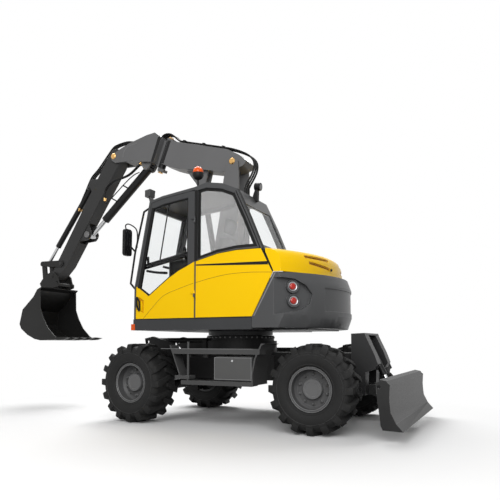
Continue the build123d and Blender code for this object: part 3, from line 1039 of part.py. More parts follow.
# Rams: foot and eye pins, station of their x, middle in y, barrel and rod radii, half width
# of the foot and the eye, and how far each rod goes in and out from here
LIFT_RAM_Y = 105
RAMS = {
    "lift_left": (LIFT_RAM_FOOT, LIFT_RAM_EYE, SLEW_X, ARM_Y + LIFT_RAM_Y, 45, 26, 48, 431, 48),
    "lift_right": (LIFT_RAM_FOOT, LIFT_RAM_EYE, SLEW_X, ARM_Y - LIFT_RAM_Y, 45, 26, 48, 431, 48),
    "fold": (FOLD_RAM_FOOT, FOLD_RAM_EYE, SLEW_X, ARM_Y, 46, 30, 48, 340, 505),
    "stick": (STICK_RAM_FOOT, STICK_RAM_EYE, SLEW_X, ARM_Y, 70, 36, 72, 350, 475),
    "bucket": (BUCKET_RAM_FOOT, LEVER_END, SLEW_X, ARM_Y, 48, 28, 50, 345, 210),
    "blade": (BLADE_RAM_FOOT, BLADE_RAM_EYE, REAR_AXLE_X, 0, 45, 26, 52, 80, 108),
}
EYE_RADIUS = 42
BORE_FLOOR = 15
END_PLAY = 5
for name, row in RAMS.items():
    foot, eye, station, y, barrel_radius, rod_radius, half_width, stroke_in, stroke_out = row
    start = Vector(station + foot[0], y, foot[1])
    run = Vector(station + eye[0], y, eye[1]) - start
    direction = run.normalized()
    barrel_end = run.length - stroke_in - EYE_RADIUS - END_PLAY
    bore_start = EYE_RADIUS + BORE_FLOOR
    rod_start = bore_start + stroke_in + END_PLAY
    with BuildPart() as barrel:
        bar(tuple(start + direction * EYE_RADIUS / 2), tuple(start + direction * barrel_end),
            barrel_radius)
        cross_bar(foot, EYE_RADIUS, y + half_width, y - half_width, x=station)
        bar(tuple(start + direction * bore_start), tuple(start + direction * (barrel_end + 1)),
            rod_radius + SLIDE_GAP, mode=Mode.SUBTRACT)
        cross_bar(foot, RAM_PIN_RADIUS + PIN_GAP, y + half_width, y - half_width, x=station,
                  mode=Mode.SUBTRACT)
    save(barrel, f"{name}_ram_barrel")
    with BuildPart() as rod:
        bar(tuple(start + direction * rod_start), tuple(start + run), rod_radius)
        cross_bar(eye, EYE_RADIUS, y + half_width, y - half_width, x=station)
    save(rod, f"{name}_ram_rod")
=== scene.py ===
"""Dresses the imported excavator: rounded plate edges, tyres, hoses, glass, lamps and finishes.

Metres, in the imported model's frame: +X forward to the bucket, +Y to the cab's side, +Z up.
"""

import json
from math import cos, pi, radians, sin

import bmesh
import bpy
import numpy as np
from mathutils import Matrix, Vector


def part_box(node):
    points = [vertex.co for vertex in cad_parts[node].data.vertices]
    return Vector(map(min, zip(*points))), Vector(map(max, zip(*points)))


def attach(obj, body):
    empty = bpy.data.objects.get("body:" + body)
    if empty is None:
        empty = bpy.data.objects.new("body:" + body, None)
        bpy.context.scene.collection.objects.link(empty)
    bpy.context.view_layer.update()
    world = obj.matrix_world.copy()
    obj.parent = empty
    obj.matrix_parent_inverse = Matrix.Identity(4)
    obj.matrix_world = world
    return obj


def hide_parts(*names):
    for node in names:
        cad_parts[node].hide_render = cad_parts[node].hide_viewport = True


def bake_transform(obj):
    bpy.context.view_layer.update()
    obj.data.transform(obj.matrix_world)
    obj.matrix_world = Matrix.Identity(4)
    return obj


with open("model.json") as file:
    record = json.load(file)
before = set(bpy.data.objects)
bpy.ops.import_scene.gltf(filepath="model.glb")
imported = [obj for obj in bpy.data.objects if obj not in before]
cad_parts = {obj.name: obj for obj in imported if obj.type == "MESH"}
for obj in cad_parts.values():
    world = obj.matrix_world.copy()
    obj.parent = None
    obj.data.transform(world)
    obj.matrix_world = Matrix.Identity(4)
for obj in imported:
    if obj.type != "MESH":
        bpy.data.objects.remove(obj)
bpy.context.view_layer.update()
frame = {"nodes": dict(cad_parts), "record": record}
NODE_BODY = {node: body for body, nodes in frame["record"]["behaviour"]["bodies"].items()
             for node in nodes}

# Places and faces of the machine that the pieces are set against
SLEW_X = -0.825
REAR_AXLE_X = -2.315
ARM_Y = -0.12
BOOM_HALF_WIDTH = 0.16
FOOT_HALF_WIDTH = 0.2
STICK_HALF_WIDTH = 0.1195
SIDE_Y = 1.16
BOX_Y = 1.15
RAIL_Y = 1.1
SEAT_Y = 0.6875
OUT = (0, 1, 0)
UP = (0, 0, 1)
AHEAD = (1, 0, 0)
STEER_AT_REST = radians(-6)

# Camera: height and place on the ground, turned from straight across, tilted up
CAMERA_PLACE = (-4.5018, 7.4137, 1.0985)
CAMERA_TURN = radians(25.42)
CAMERA_TILT = radians(5)
CAMERA_LENS = 39.665
CAMERA_SHIFT_UP = 0.0887


def add_camera():
    """The photograph's viewpoint: right, up and back axes from a turn and a tilt."""
    turn, tilt = CAMERA_TURN, CAMERA_TILT
    right = Vector((-cos(turn), -sin(turn), 0))
    up = Vector((-sin(tilt) * sin(turn), sin(tilt) * cos(turn), cos(tilt)))
    axes = Matrix((right, up, right.cross(up))).transposed()
    data = bpy.data.cameras.new("camera")
    data.lens, data.sensor_width, data.shift_y = CAMERA_LENS, 36, CAMERA_SHIFT_UP
    data.clip_end = 200
    camera = bpy.data.objects.new("camera", data)
    camera.matrix_world = Matrix.Translation(CAMERA_PLACE) @ axes.to_4x4()
    bpy.context.scene.collection.objects.link(camera)
    bpy.context.scene.camera = camera


add_camera()

# Node groups: each has named inputs and gives masks or values


class Nodes:
    """A short way to place and link the nodes of one tree."""

    def __init__(self, tree):
        """The node tree that the others work in."""
        self.tree = tree

    def add(self, kind, values=(), **settings):
        """One node: its settings, then its input sockets by name, linked or set."""
        node = self.tree.nodes.new("ShaderNode" + kind)
        for name, value in settings.items():
            setattr(node, name, value)
        for name, value in dict(values).items():
            socket = node.inputs[name]
            if isinstance(value, bpy.types.NodeSocket):
                self.tree.links.new(value, socket)
            else:
                socket.default_value = value
        return node

    def math(self, operation, first, second=0.0, clamp=False):
        """One Math node's result."""
        return self.add("Math", {0: first, 1: second}, operation=operation,
                        use_clamp=clamp).outputs[0]

    def ramp(self, value, low, high, out_low=0.0, out_high=1.0):
        """A value stretched from one span to another and held inside it."""
        return self.add("MapRange", {"Value": value, "From Min": low, "From Max": high,
                                     "To Min": out_low, "To Max": out_high}).outputs[0]

    def mix(self, mask, first, second):
        """Two colours mixed by a mask."""
        node = self.add("Mix", data_type="RGBA")
        for socket, value in ((node.inputs[0], mask), (node.inputs[6], first),
                              (node.inputs[7], second)):
            if isinstance(value, bpy.types.NodeSocket):
                self.tree.links.new(value, socket)
            else:
                socket.default_value = value
        return node.outputs[2]

    def group(self, tree, **values):
        """A placed node group with its own input values."""
        node = self.tree.nodes.new("ShaderNodeGroup")
        node.node_tree = tree
        for name, value in values.items():
            socket = node.inputs[name.replace("_", " ")]
            if isinstance(value, bpy.types.NodeSocket):
                self.tree.links.new(value, socket)
            else:
                socket.default_value = value
        return node


def new_group(name, inputs, outputs):
    """An empty node group with float inputs (name, default) and float outputs."""
    tree = bpy.data.node_groups.new(name, "ShaderNodeTree")
    for label, default in inputs:
        socket = tree.interface.new_socket(label, in_out="INPUT", socket_type="NodeSocketFloat")
        socket.default_value = default
    for label in outputs:
        tree.interface.new_socket(label, in_out="OUTPUT", socket_type="NodeSocketFloat")
    nodes = Nodes(tree)
    return (tree, nodes, tree.nodes.new("NodeGroupInput").outputs,
            tree.nodes.new("NodeGroupOutput").inputs)


def make_mottle():
    """Broad and fine noise on Object coordinates, each from 0 to 1."""
    tree, nodes, given, result = new_group(
        "mottle", [("Broad Scale", 1.5), ("Fine Scale", 60.0)], ["Broad", "Fine"])
    place = nodes.add("TexCoord").outputs["Object"]
    for label in ("Broad", "Fine"):
        noise = nodes.add("TexNoise", {"Vector": place, "Scale": given[label + " Scale"],
                                       "Detail": 4.0})
        tree.links.new(nodes.ramp(noise.outputs[0], 0.3, 0.7), result[label])
    return tree


def make_edge_wear():
    """A mask that is 1 where the surface turns sharply, broken up by noise."""
    tree, nodes, given, result = new_group("edge_wear", [("Radius", 0.006), ("Amount", 1.0)],
                                           ["Mask"])
    rounded = nodes.add("Bevel", {"Radius": given["Radius"]}, samples=4).outputs[0]
    flat = nodes.add("NewGeometry").outputs["Normal"]
    turn = nodes.add("VectorMath", {0: rounded, 1: flat}, operation="DOT_PRODUCT").outputs["Value"]
    place = nodes.add("TexCoord").outputs["Object"]
    noise = nodes.add("TexNoise", {"Vector": place, "Scale": 14.0, "Detail": 5.0}).outputs[0]
    broken = nodes.math("MULTIPLY", nodes.ramp(turn, 0.995, 0.9), nodes.ramp(noise, 0.35, 0.6))
    tree.links.new(nodes.math("MULTIPLY", broken, given["Amount"], clamp=True), result["Mask"])
    return tree


def make_dust():
    """A mask of dry dust: more on what faces up and lower down, with cloudy borders."""
    tree, nodes, given, result = new_group(
        "dust", [("Amount", 0.3), ("Low", 0.0), ("High", 2.0)], ["Mask"])
    place = nodes.add("TexCoord").outputs["Object"]
    height = nodes.add("SeparateXYZ", {"Vector": place}).outputs["Z"]
    normal = nodes.add("NewGeometry").outputs["Normal"]
    facing = nodes.add("SeparateXYZ", {"Vector": normal}).outputs["Z"]
    low = nodes.add("MapRange", {"Value": height, "From Min": given["Low"],
                                 "From Max": given["High"], "To Min": 1.0,
                                 "To Max": 0.15}).outputs[0]
    cloud = nodes.add("TexNoise", {"Vector": place, "Scale": 5.0, "Detail": 6.0}).outputs[0]
    lying = nodes.math("MULTIPLY", nodes.ramp(facing, 0.2, 1.0, 0.45, 1.0),
                       nodes.ramp(cloud, 0.35, 0.7))
    both = nodes.math("MULTIPLY", lying, low)
    tree.links.new(nodes.math("MULTIPLY", both, given["Amount"], clamp=True), result["Mask"])
    return tree


MOTTLE, EDGE_WEAR, DUST = make_mottle(), make_edge_wear(), make_dust()
DUST_COLOUR = (0.26, 0.24, 0.21, 1)


def finish(name, colour, rough, metallic=0.0, coat=0.0, vary=0.12, fine=60.0, bump=0.1,
           bump_depth=0.0004, edge=None, edge_amount=0.5, dust=0.0, rough_span=0.12,
           specular=0.35, above=None):
    """A painted, plated, moulded or rubber surface.

    Its colour drifts by the share `vary` with broad noise, turns to `edge` on sharp turns and
    to dust where that lies; its roughness drifts with fine noise, which also gives its bump.
    `above` names a group whose mask gives a second colour, and that colour.
    """
    material = bpy.data.materials.new(name)
    material.use_nodes = True
    nodes = Nodes(material.node_tree)
    shader = material.node_tree.nodes["Principled BSDF"]
    noise = nodes.group(MOTTLE, Fine_Scale=fine)
    dark = tuple(c * (1 - vary) for c in colour) + (1,)
    light = tuple(min(1, c * (1 + vary)) for c in colour) + (1,)
    tone = nodes.mix(noise.outputs["Broad"], dark, light)
    if above:
        border = nodes.group(above[0]).outputs["Mask"]
        tone = nodes.mix(border, tone, (*above[1], 1))
    if edge:
        worn = nodes.group(EDGE_WEAR, Amount=edge_amount)
        tone = nodes.mix(worn.outputs["Mask"], tone, (*edge, 1))
    roughness = nodes.ramp(noise.outputs["Fine"], 0, 1, max(0.02, rough - rough_span / 2),
                           min(1, rough + rough_span / 2))
    if dust:
        lying = nodes.group(DUST, Amount=dust).outputs["Mask"]
        tone = nodes.mix(lying, tone, DUST_COLOUR)
        roughness = nodes.math("MAXIMUM", roughness, nodes.ramp(lying, 0, 0.5, 0, 0.85))
    links = material.node_tree.links
    links.new(tone, shader.inputs["Base Color"])
    links.new(roughness, shader.inputs["Roughness"])
    relief = nodes.add("Bump", {"Strength": bump, "Distance": bump_depth,
                                "Height": noise.outputs["Fine"]})
    links.new(relief.outputs[0], shader.inputs["Normal"])
    shader.inputs["Metallic"].default_value = metallic
    shader.inputs["Coat Weight"].default_value = coat
    shader.inputs["Specular IOR Level"].default_value = 0.5 if metallic else specular
    return material


def glass(name, tint, rough=0.02, clearness=1.0, index=1.12):
    """Clear or tinted safety glass: it lets light through, with faint waves in its surface."""
    material = bpy.data.materials.new(name)
    material.use_nodes = True
    nodes = Nodes(material.node_tree)
    shader = material.node_tree.nodes["Principled BSDF"]
    noise = nodes.group(MOTTLE, Broad_Scale=1.2, Fine_Scale=3.0)
    relief = nodes.add("Bump", {"Strength": 0.03, "Distance": 0.001,
                                "Height": noise.outputs["Fine"]})
    material.node_tree.links.new(relief.outputs[0], shader.inputs["Normal"])
    tone = nodes.mix(noise.outputs["Broad"], tuple(c * 0.96 for c in tint) + (1,), (*tint, 1))
    material.node_tree.links.new(tone, shader.inputs["Base Color"])
    shader.inputs["Roughness"].default_value = rough
    shader.inputs["IOR"].default_value = index
    # Below a clearness of 1 the rest scatters off the pale tint: a painted reflection
    shader.inputs["Transmission Weight"].default_value = clearness
    return material


# The door's sill: the height at which its yellow skin gives way to grey, along the door. The
# curve node holds values from 0 to 1, so it takes heights over the base.
SILL_BASE = 1.5
SILL = [(-0.1, 2.18), (0.114, 2.176), (0.222, 2.125), (0.36, 2.066), (0.526, 1.968), (0.69, 1.85),
        (0.844, 1.736), (1.0, 1.845), (1.1, 1.905)]


def make_sill():
    """A mask that is 1 above the door's sill line, read from x and z of Object coordinates."""
    tree, nodes, given, result = new_group("above_the_sill", [], ["Mask"])
    place = nodes.add("SeparateXYZ", {"Vector": nodes.add("TexCoord").outputs["Object"]})
    low, high = SILL[0][0], SILL[-1][0]
    along = nodes.ramp(place.outputs["X"], SLEW_X + low, SLEW_X + high)
    curve = nodes.add("FloatCurve", {"Value": along})
    points = curve.mapping.curves[0].points
    levels = [((x - low) / (high - low), z - SILL_BASE) for x, z in SILL]
    points[0].location, points[1].location = levels[0], levels[-1]
    for level in levels[1:-1]:
        points.new(*level)
    for point in points:
        point.handle_type = "VECTOR"
    curve.mapping.update()
    height = nodes.math("SUBTRACT", place.outputs["Z"], SILL_BASE)
    over = nodes.math("SUBTRACT", height, curve.outputs[0])
    tree.links.new(nodes.math("GREATER_THAN", over, 0.0), result["Mask"])
    return tree


CAB_TONE = (0.062, 0.063, 0.065)
YELLOW = finish("yellow_paint", (1.0, 0.6, 0.0), 0.3, coat=0.06, vary=0.015, fine=160, bump=0.05,
                edge=(1.0, 0.7, 0.05), edge_amount=0.2, rough_span=0.05, specular=0.12)
DOOR_PAINT = finish("door_paint", (1.0, 0.6, 0.0), 0.3, coat=0.06, vary=0.015, fine=160, bump=0.05,
                    rough_span=0.05, specular=0.12, above=(make_sill(), CAB_TONE))
# A darker yellow that paints the shade in the door handle's recess and in the hood's louvre slots
PAINTED_SHADE_YELLOW = finish("yellow_recess_painted_shade", (0.62, 0.3, 0.002), 0.4, vary=0.05, fine=120)
CREASE = finish("crease_shadow", (0.3, 0.14, 0.0), 0.5, vary=0.1, fine=200)
SKIRT_GREY = finish("skirt_grey_paint", (0.036, 0.037, 0.039), 0.4, coat=0.05, vary=0.08, fine=220,
                    bump=0.1, edge=(0.14, 0.14, 0.14), edge_amount=0.5, specular=0.25)
WEIGHT_GREY = finish("weight_grey_paint", (0.066, 0.067, 0.069), 0.4, coat=0.05, vary=0.06, fine=220,
                     bump=0.1, edge=(0.2, 0.2, 0.2), edge_amount=0.6, specular=0.25)
# Pale grey for bolts, a boss and a weld bead; on rim lips and edge strips it paints highlights
PALE_GREY_AND_HIGHLIGHT = finish("pale_grey_and_painted_highlight", (0.2, 0.2, 0.202), 0.36, coat=0.2, vary=0.08, fine=200)
CHASSIS_GREY = finish("chassis_grey_paint", (0.007, 0.007, 0.0073), 0.5, vary=0.15, fine=140,
                      bump=0.12, edge=(0.05, 0.05, 0.05), edge_amount=0.4, dust=0.03, specular=0.2)
STEP_GREY = finish("step_grey_paint", (0.06, 0.06, 0.06), 0.45, vary=0.1, fine=140, bump=0.12,
                   edge=(0.25, 0.25, 0.25), edge_amount=0.6, dust=0.03, specular=0.25)
CARRIER_GREY = finish("carrier_grey_paint", (0.016, 0.016, 0.0165), 0.42, vary=0.15, fine=140,
                      bump=0.12, edge=(0.16, 0.16, 0.16), edge_amount=0.6, specular=0.25)
LIGHT_GREY = finish("light_grey_paint", (0.085, 0.085, 0.084), 0.45, vary=0.06, fine=160, bump=0.08,
                    edge=(0.25, 0.25, 0.25), edge_amount=0.5, specular=0.25)
BOOM_GREY = finish("boom_grey_paint", (0.15, 0.15, 0.152), 0.4, vary=0.05, fine=150, bump=0.08,
                   edge=(0.2, 0.2, 0.2), edge_amount=0.3, specular=0.2)
STICK_GREY = finish("stick_grey_paint", (0.04, 0.04, 0.04), 0.42, vary=0.08, fine=150,
                    bump=0.08, edge=(0.12, 0.12, 0.12), edge_amount=0.4, specular=0.2)
CAB_GREY = finish("cab_grey_paint", CAB_TONE, 0.38, coat=0.06, vary=0.05, fine=200, bump=0.06,
                  edge=(0.16, 0.16, 0.16), edge_amount=0.3, specular=0.25)
BLACK_PAINT = finish("black_paint", (0.006, 0.006, 0.0063), 0.4, vary=0.2, fine=150, bump=0.08,
                     edge=(0.05, 0.05, 0.05), edge_amount=0.4, specular=0.25)
WORN_STEEL = finish("worn_steel", (0.012, 0.0118, 0.0115), 0.45, vary=0.25, fine=90, bump=0.3,
                    bump_depth=0.0008, edge=(0.16, 0.155, 0.15), edge_amount=0.5, dust=0.02,
                    specular=0.25)
BLADE_STEEL = finish("blade_steel", (0.012, 0.012, 0.012), 0.45, vary=0.3, fine=90, bump=0.3,
                     bump_depth=0.0008, edge=(0.3, 0.3, 0.3), edge_amount=0.7, specular=0.25)
CHROME = finish("chromed_rod", (0.5, 0.505, 0.51), 0.14, metallic=1.0, vary=0.03, fine=300,
                bump=0.03, rough_span=0.05)
RUBBER = finish("tyre_rubber", (0.0095, 0.0095, 0.0095), 0.7, vary=0.25, fine=110, bump=0.3,
                bump_depth=0.0008, edge=(0.03, 0.03, 0.03), edge_amount=0.5, dust=0.02,
                specular=0.25)
# A paler line for the tyre walls: a painted highlight
TYRE_WALL_HIGHLIGHT = finish("tyre_wall_painted_highlight", (0.05, 0.05, 0.05), 0.6, vary=0.25, fine=110)
RIM_GREY = finish("rim_grey_paint", (0.075, 0.075, 0.076), 0.42, vary=0.1, fine=160, bump=0.1,
                  edge=(0.3, 0.3, 0.3), edge_amount=0.7, dust=0.02, specular=0.25)
HUB_GREY = finish("hub_grey_paint", (0.12, 0.12, 0.121), 0.42, vary=0.08, fine=160, bump=0.1,
                  edge=(0.3, 0.3, 0.3), edge_amount=0.6, specular=0.25)
HOSE_RUBBER = finish("hose_rubber", (0.005, 0.005, 0.005), 0.4, vary=0.2, fine=260, bump=0.3,
                     specular=0.2)
PLATED = finish("yellow_zinc_plating", (0.7, 0.42, 0.15), 0.3, metallic=0.85, vary=0.18, fine=80,
                bump=0.1, edge=(0.85, 0.66, 0.4))
PLASTIC = finish("moulded_plastic", (0.006, 0.006, 0.0062), 0.5, vary=0.12, fine=500, bump=0.3,
                 specular=0.2)
TRIM = finish("cab_trim_plastic", (0.006, 0.006, 0.0062), 0.6, vary=0.1, fine=420, bump=0.3,
              specular=0.15)
SEAL = finish("seal_rubber", (0.004, 0.004, 0.004), 0.6, vary=0.2, fine=300, bump=0.15,
              specular=0.2)
CLEAR_GLASS = glass("clear_glass", (0.95, 0.96, 0.96))
# Part of its light scatters off the pale tint: a painted reflection on the pane
PAINTED_REFLECTION_GLASS = glass("glass_with_painted_reflection", (0.93, 0.93, 0.93), 0.03, clearness=0.8, index=1.35)
RED_LENS = finish("red_lens", (0.42, 0.01, 0.002), 0.14, coat=0.2, vary=0.12, fine=90, bump=0.3)
AMBER_LENS = finish("amber_lens", (0.75, 0.09, 0.002), 0.16, coat=0.1, vary=0.12, fine=70,
                    bump=0.3, specular=0.2)
LAMP_LENS = finish("lamp_lens", (0.1, 0.1, 0.105), 0.15, metallic=0.3, coat=0.3, vary=0.3,
                   fine=60, bump=0.5)
REFLECTOR = finish("lamp_reflector", (0.3, 0.3, 0.31), 0.25, metallic=1.0, vary=0.05, fine=40)
MIRROR_GLASS = finish("mirror_glass", (0.012, 0.012, 0.013), 0.12, vary=0.1, fine=40, bump=0.01,
                      rough_span=0.04, specular=0.5)
CLOTH = finish("seat_cloth", (0.008, 0.008, 0.0085), 0.85, vary=0.2, fine=700, bump=0.6,
               specular=0.15)

# Surfaces as whole arrays: a shape is its points and its blocks of faces, each block an array
# whose rows are the corner numbers of faces with the same count of corners


def grid_faces(rows, columns, close_rows=False, close_columns=False):
    """The four corner numbers of each face of a grid, with its last row or column joined on."""
    i = np.arange(rows if close_rows else rows - 1)[:, None]
    j = np.arange(columns if close_columns else columns - 1)[None, :]
    k, m = (i + 1) % rows, (j + 1) % columns
    corners = [i * columns + j, i * columns + m, k * columns + m, k * columns + j]
    return np.stack([np.broadcast_to(c, (i.size, j.size)) for c in corners], -1).reshape(-1, 4)


def placed(points, centre, first, second, third):
    """Points given along three directions from a centre."""
    axes = np.array([first, second, third], float)
    return points @ axes + np.array(centre, float)


def add_mesh(name, shape, body, material, replaces=(), smooth=40, bend=False):
    """A finished piece at the origin: its faces point outwards; without bend it rides on its body."""
    points, blocks = shape
    mesh = bpy.data.meshes.new(name)
    mesh.from_pydata(np.asarray(points, float).tolist(), [],
                     [face for block in blocks for face in block.tolist()])
    shell = bmesh.new()
    shell.from_mesh(mesh)
    bmesh.ops.remove_doubles(shell, verts=shell.verts, dist=1e-6)
    bmesh.ops.recalc_face_normals(shell, faces=shell.faces)
    shell.to_mesh(mesh)
    shell.free()
    mesh.shade_smooth()
    mesh.set_sharp_from_angle(angle=radians(smooth))
    piece = bpy.data.objects.new(name, mesh)
    bpy.context.scene.collection.objects.link(piece)
    mesh.materials.append(material)
    if not bend:
        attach(piece, body)
    if replaces:
        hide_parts(*replaces)
    return piece


def lathe(profile, centre, axis, up=(0, 0, 1), count=72, closed=True):
    """A profile of (distance along the axis, radius) turned about the axis.

    Point (i, j) is centre + axis * a_i + (across * cos t_j + up * sin t_j) * r_i.
    """
    axis = Vector(axis).normalized()
    across = Vector(up).cross(axis).normalized()
    rise = axis.cross(across)
    a, r = np.array(profile, float).T
    t = np.arange(count) / count * 2 * pi
    local = np.stack([np.repeat(a[:, None], count, 1), r[:, None] * np.cos(t),
                      r[:, None] * np.sin(t)], -1).reshape(-1, 3)
    return placed(local, centre, axis, across, rise), [grid_faces(len(a), count, closed, True)]


def round_head(centre, axis, radius, height, bevel=0.25, count=24):
    """A round boss: a short cylinder with a bevelled rim, closed at both ends."""
    edge = radius * bevel
    return lathe([(0, 0), (0, radius), (height - edge, radius), (height, radius - edge), (height, 0)],
                 centre, axis, count=count, closed=False)


def tube(path, radius, count=12):
    """A round tube along a path of points, its ends closed.

    Each ring stands square to the path's direction; its first axis is the path's own side
    direction, so that the rings don't twist.
    """
    path = np.array(path, float)
    run = np.gradient(path, axis=0)
    run /= np.linalg.norm(run, axis=1)[:, None]
    mean = path[-1] - path[0]
    steep = abs(mean[2]) >= 0.9 * np.linalg.norm(mean)
    aside = np.cross(mean, (1.0, 0.17, 0.1) if steep else (0.13, 0.21, 1.0))
    side = aside - run * (run @ aside)[:, None]
    side /= np.linalg.norm(side, axis=1)[:, None]
    rise = np.cross(run, side)
    t = np.arange(count) / count * 2 * pi
    rings = path[:, None, :] + radius * (side[:, None, :] * np.cos(t)[None, :, None]
                                         + rise[:, None, :] * np.sin(t)[None, :, None])
    points = np.concatenate([path[:1], rings.reshape(-1, 3), path[-1:]])
    body = grid_faces(len(path), count, False, True) + 1
    this, following = np.arange(count), (np.arange(count) + 1) % count
    last = 1 + (len(path) - 1) * count
    near_cap = np.stack([np.zeros_like(this), 1 + following, 1 + this], -1)
    far_cap = np.stack([np.full_like(this, len(points) - 1), last + this, last + following], -1)
    return points, [body, near_cap, far_cap]


def smooth_path(knots, steps=10):
    """Points on a smooth curve through knots: cubic pieces with tangents of half the chord."""
    knots = np.array(knots, float)
    tangent = np.gradient(knots, axis=0)
    t = np.linspace(0, 1, steps, endpoint=False)[:, None, None]
    a, b = knots[None, :-1], knots[None, 1:]
    u, v = tangent[None, :-1], tangent[None, 1:]
    curve = ((2 * t**3 - 3 * t**2 + 1) * a + (t**3 - 2 * t**2 + t) * u
             + (3 * t**2 - 2 * t**3) * b + (t**3 - t**2) * v)
    return np.concatenate([curve.transpose(1, 0, 2).reshape(-1, 3), knots[-1:]])


def at(x, y, z):
    """A point given from the slew axis."""
    return (SLEW_X + x, y, z)


def route(points, y):
    """Points (x, z) from the slew axis as a path at one y."""
    x, z = np.array(points, float).T
    return np.stack([SLEW_X + x, np.full_like(x, y), z], -1)


def joined_rings(count):
    """The sides between two rings of points, and a lid on each ring."""
    this, following = np.arange(count), (np.arange(count) + 1) % count
    return [np.stack([this, following, count + following, count + this], -1),
            this[None], (2 * count - 1 - this)[None]]


def prism(outline, first, second):
    """A plate between two y values: its (x, z) outline from the slew axis, drawn across."""
    points = np.concatenate([route(outline, first), route(outline, second)])
    return points, joined_rings(len(outline))


def crate(low, high):
    """A box between two corners."""
    corners = np.array([(x, y, z) for x in (0, 1) for y in (0, 1) for z in (0, 1)], float)
    low, high = np.array(low, float), np.array(high, float)
    return low + corners * (high - low), [np.array([
        [0, 1, 3, 2], [4, 6, 7, 5], [0, 4, 5, 1], [2, 3, 7, 6], [0, 2, 6, 4], [1, 5, 7, 3]])]


def strip(path, outward, width, height, closed=False):
    """A flat strip on a surface: a rectangle drawn along a path.

    Each section runs half the width to both sides, square to the path and to the outward
    direction, and from 1 mm under the surface to its height over it. At a corner it is
    widened, so that the strip keeps its width.
    """
    path, outward = np.array(path, float), np.array(outward, float)
    before, after = np.roll(path, 1, 0), np.roll(path, -1, 0)
    if not closed:
        before[0], after[-1] = 2 * path[0] - path[1], 2 * path[-1] - path[-2]
    first, second = path - before, after - path
    first /= np.linalg.norm(first, axis=1)[:, None]
    second /= np.linalg.norm(second, axis=1)[:, None]
    side = np.cross(first + second, outward)
    side /= np.linalg.norm(side, axis=1)[:, None]
    widening = 1 / np.clip(np.sum(side * np.cross(first, outward), axis=1), 0.4, 1)
    section = np.array([(-1, 0), (1, 0), (1, 1), (-1, 1)])
    lift = section[:, 1] * (height + 0.001) - 0.001
    points = (path[:, None, :] + lift[None, :, None] * outward
              + section[None, :, :1] * (side * widening[:, None])[:, None, :] * width / 2)
    blocks = [grid_faces(len(path), 4, closed, True)]
    if not closed:
        blocks.append(np.array([[3, 2, 1, 0], 4 * (len(path) - 1) + np.arange(4)]))
    return points.reshape(-1, 3), blocks


def mixed(parts):
    """Several shapes as one: each one's corner numbers start after the points before it."""
    points = [np.asarray(part[0], float) for part in parts]
    starts = np.cumsum([0] + [len(block) for block in points])
    return np.concatenate(points), [block + start for start, part in zip(starts, parts)
                                    for block in part[1]]


def softened(node, width, material, segments=2, angle=30):
    """A node's solid with every sharp edge rounded: doubles merged and flat faces joined first."""
    mesh = frame["nodes"][node].data.copy()
    shell = bmesh.new()
    shell.from_mesh(mesh)
    bmesh.ops.remove_doubles(shell, verts=shell.verts, dist=1e-5)
    bmesh.ops.dissolve_limit(shell, angle_limit=radians(0.5), verts=shell.verts,
                             edges=shell.edges)
    shell.to_mesh(mesh)
    shell.free()
    mesh.materials.clear()
    mesh.materials.append(material)
    mesh.shade_smooth()
    mesh.set_sharp_from_angle(angle=radians(angle))
    piece = bpy.data.objects.new(node + "_rounded", mesh)
    bpy.context.scene.collection.objects.link(piece)
    bevel = piece.modifiers.new("rounded_edges", "BEVEL")
    bevel.width, bevel.segments = width, segments
    bevel.limit_method, bevel.angle_limit = "ANGLE", radians(angle)
    bevel.harden_normals = True
    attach(piece, NODE_BODY[node])
    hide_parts(node)
    return piece


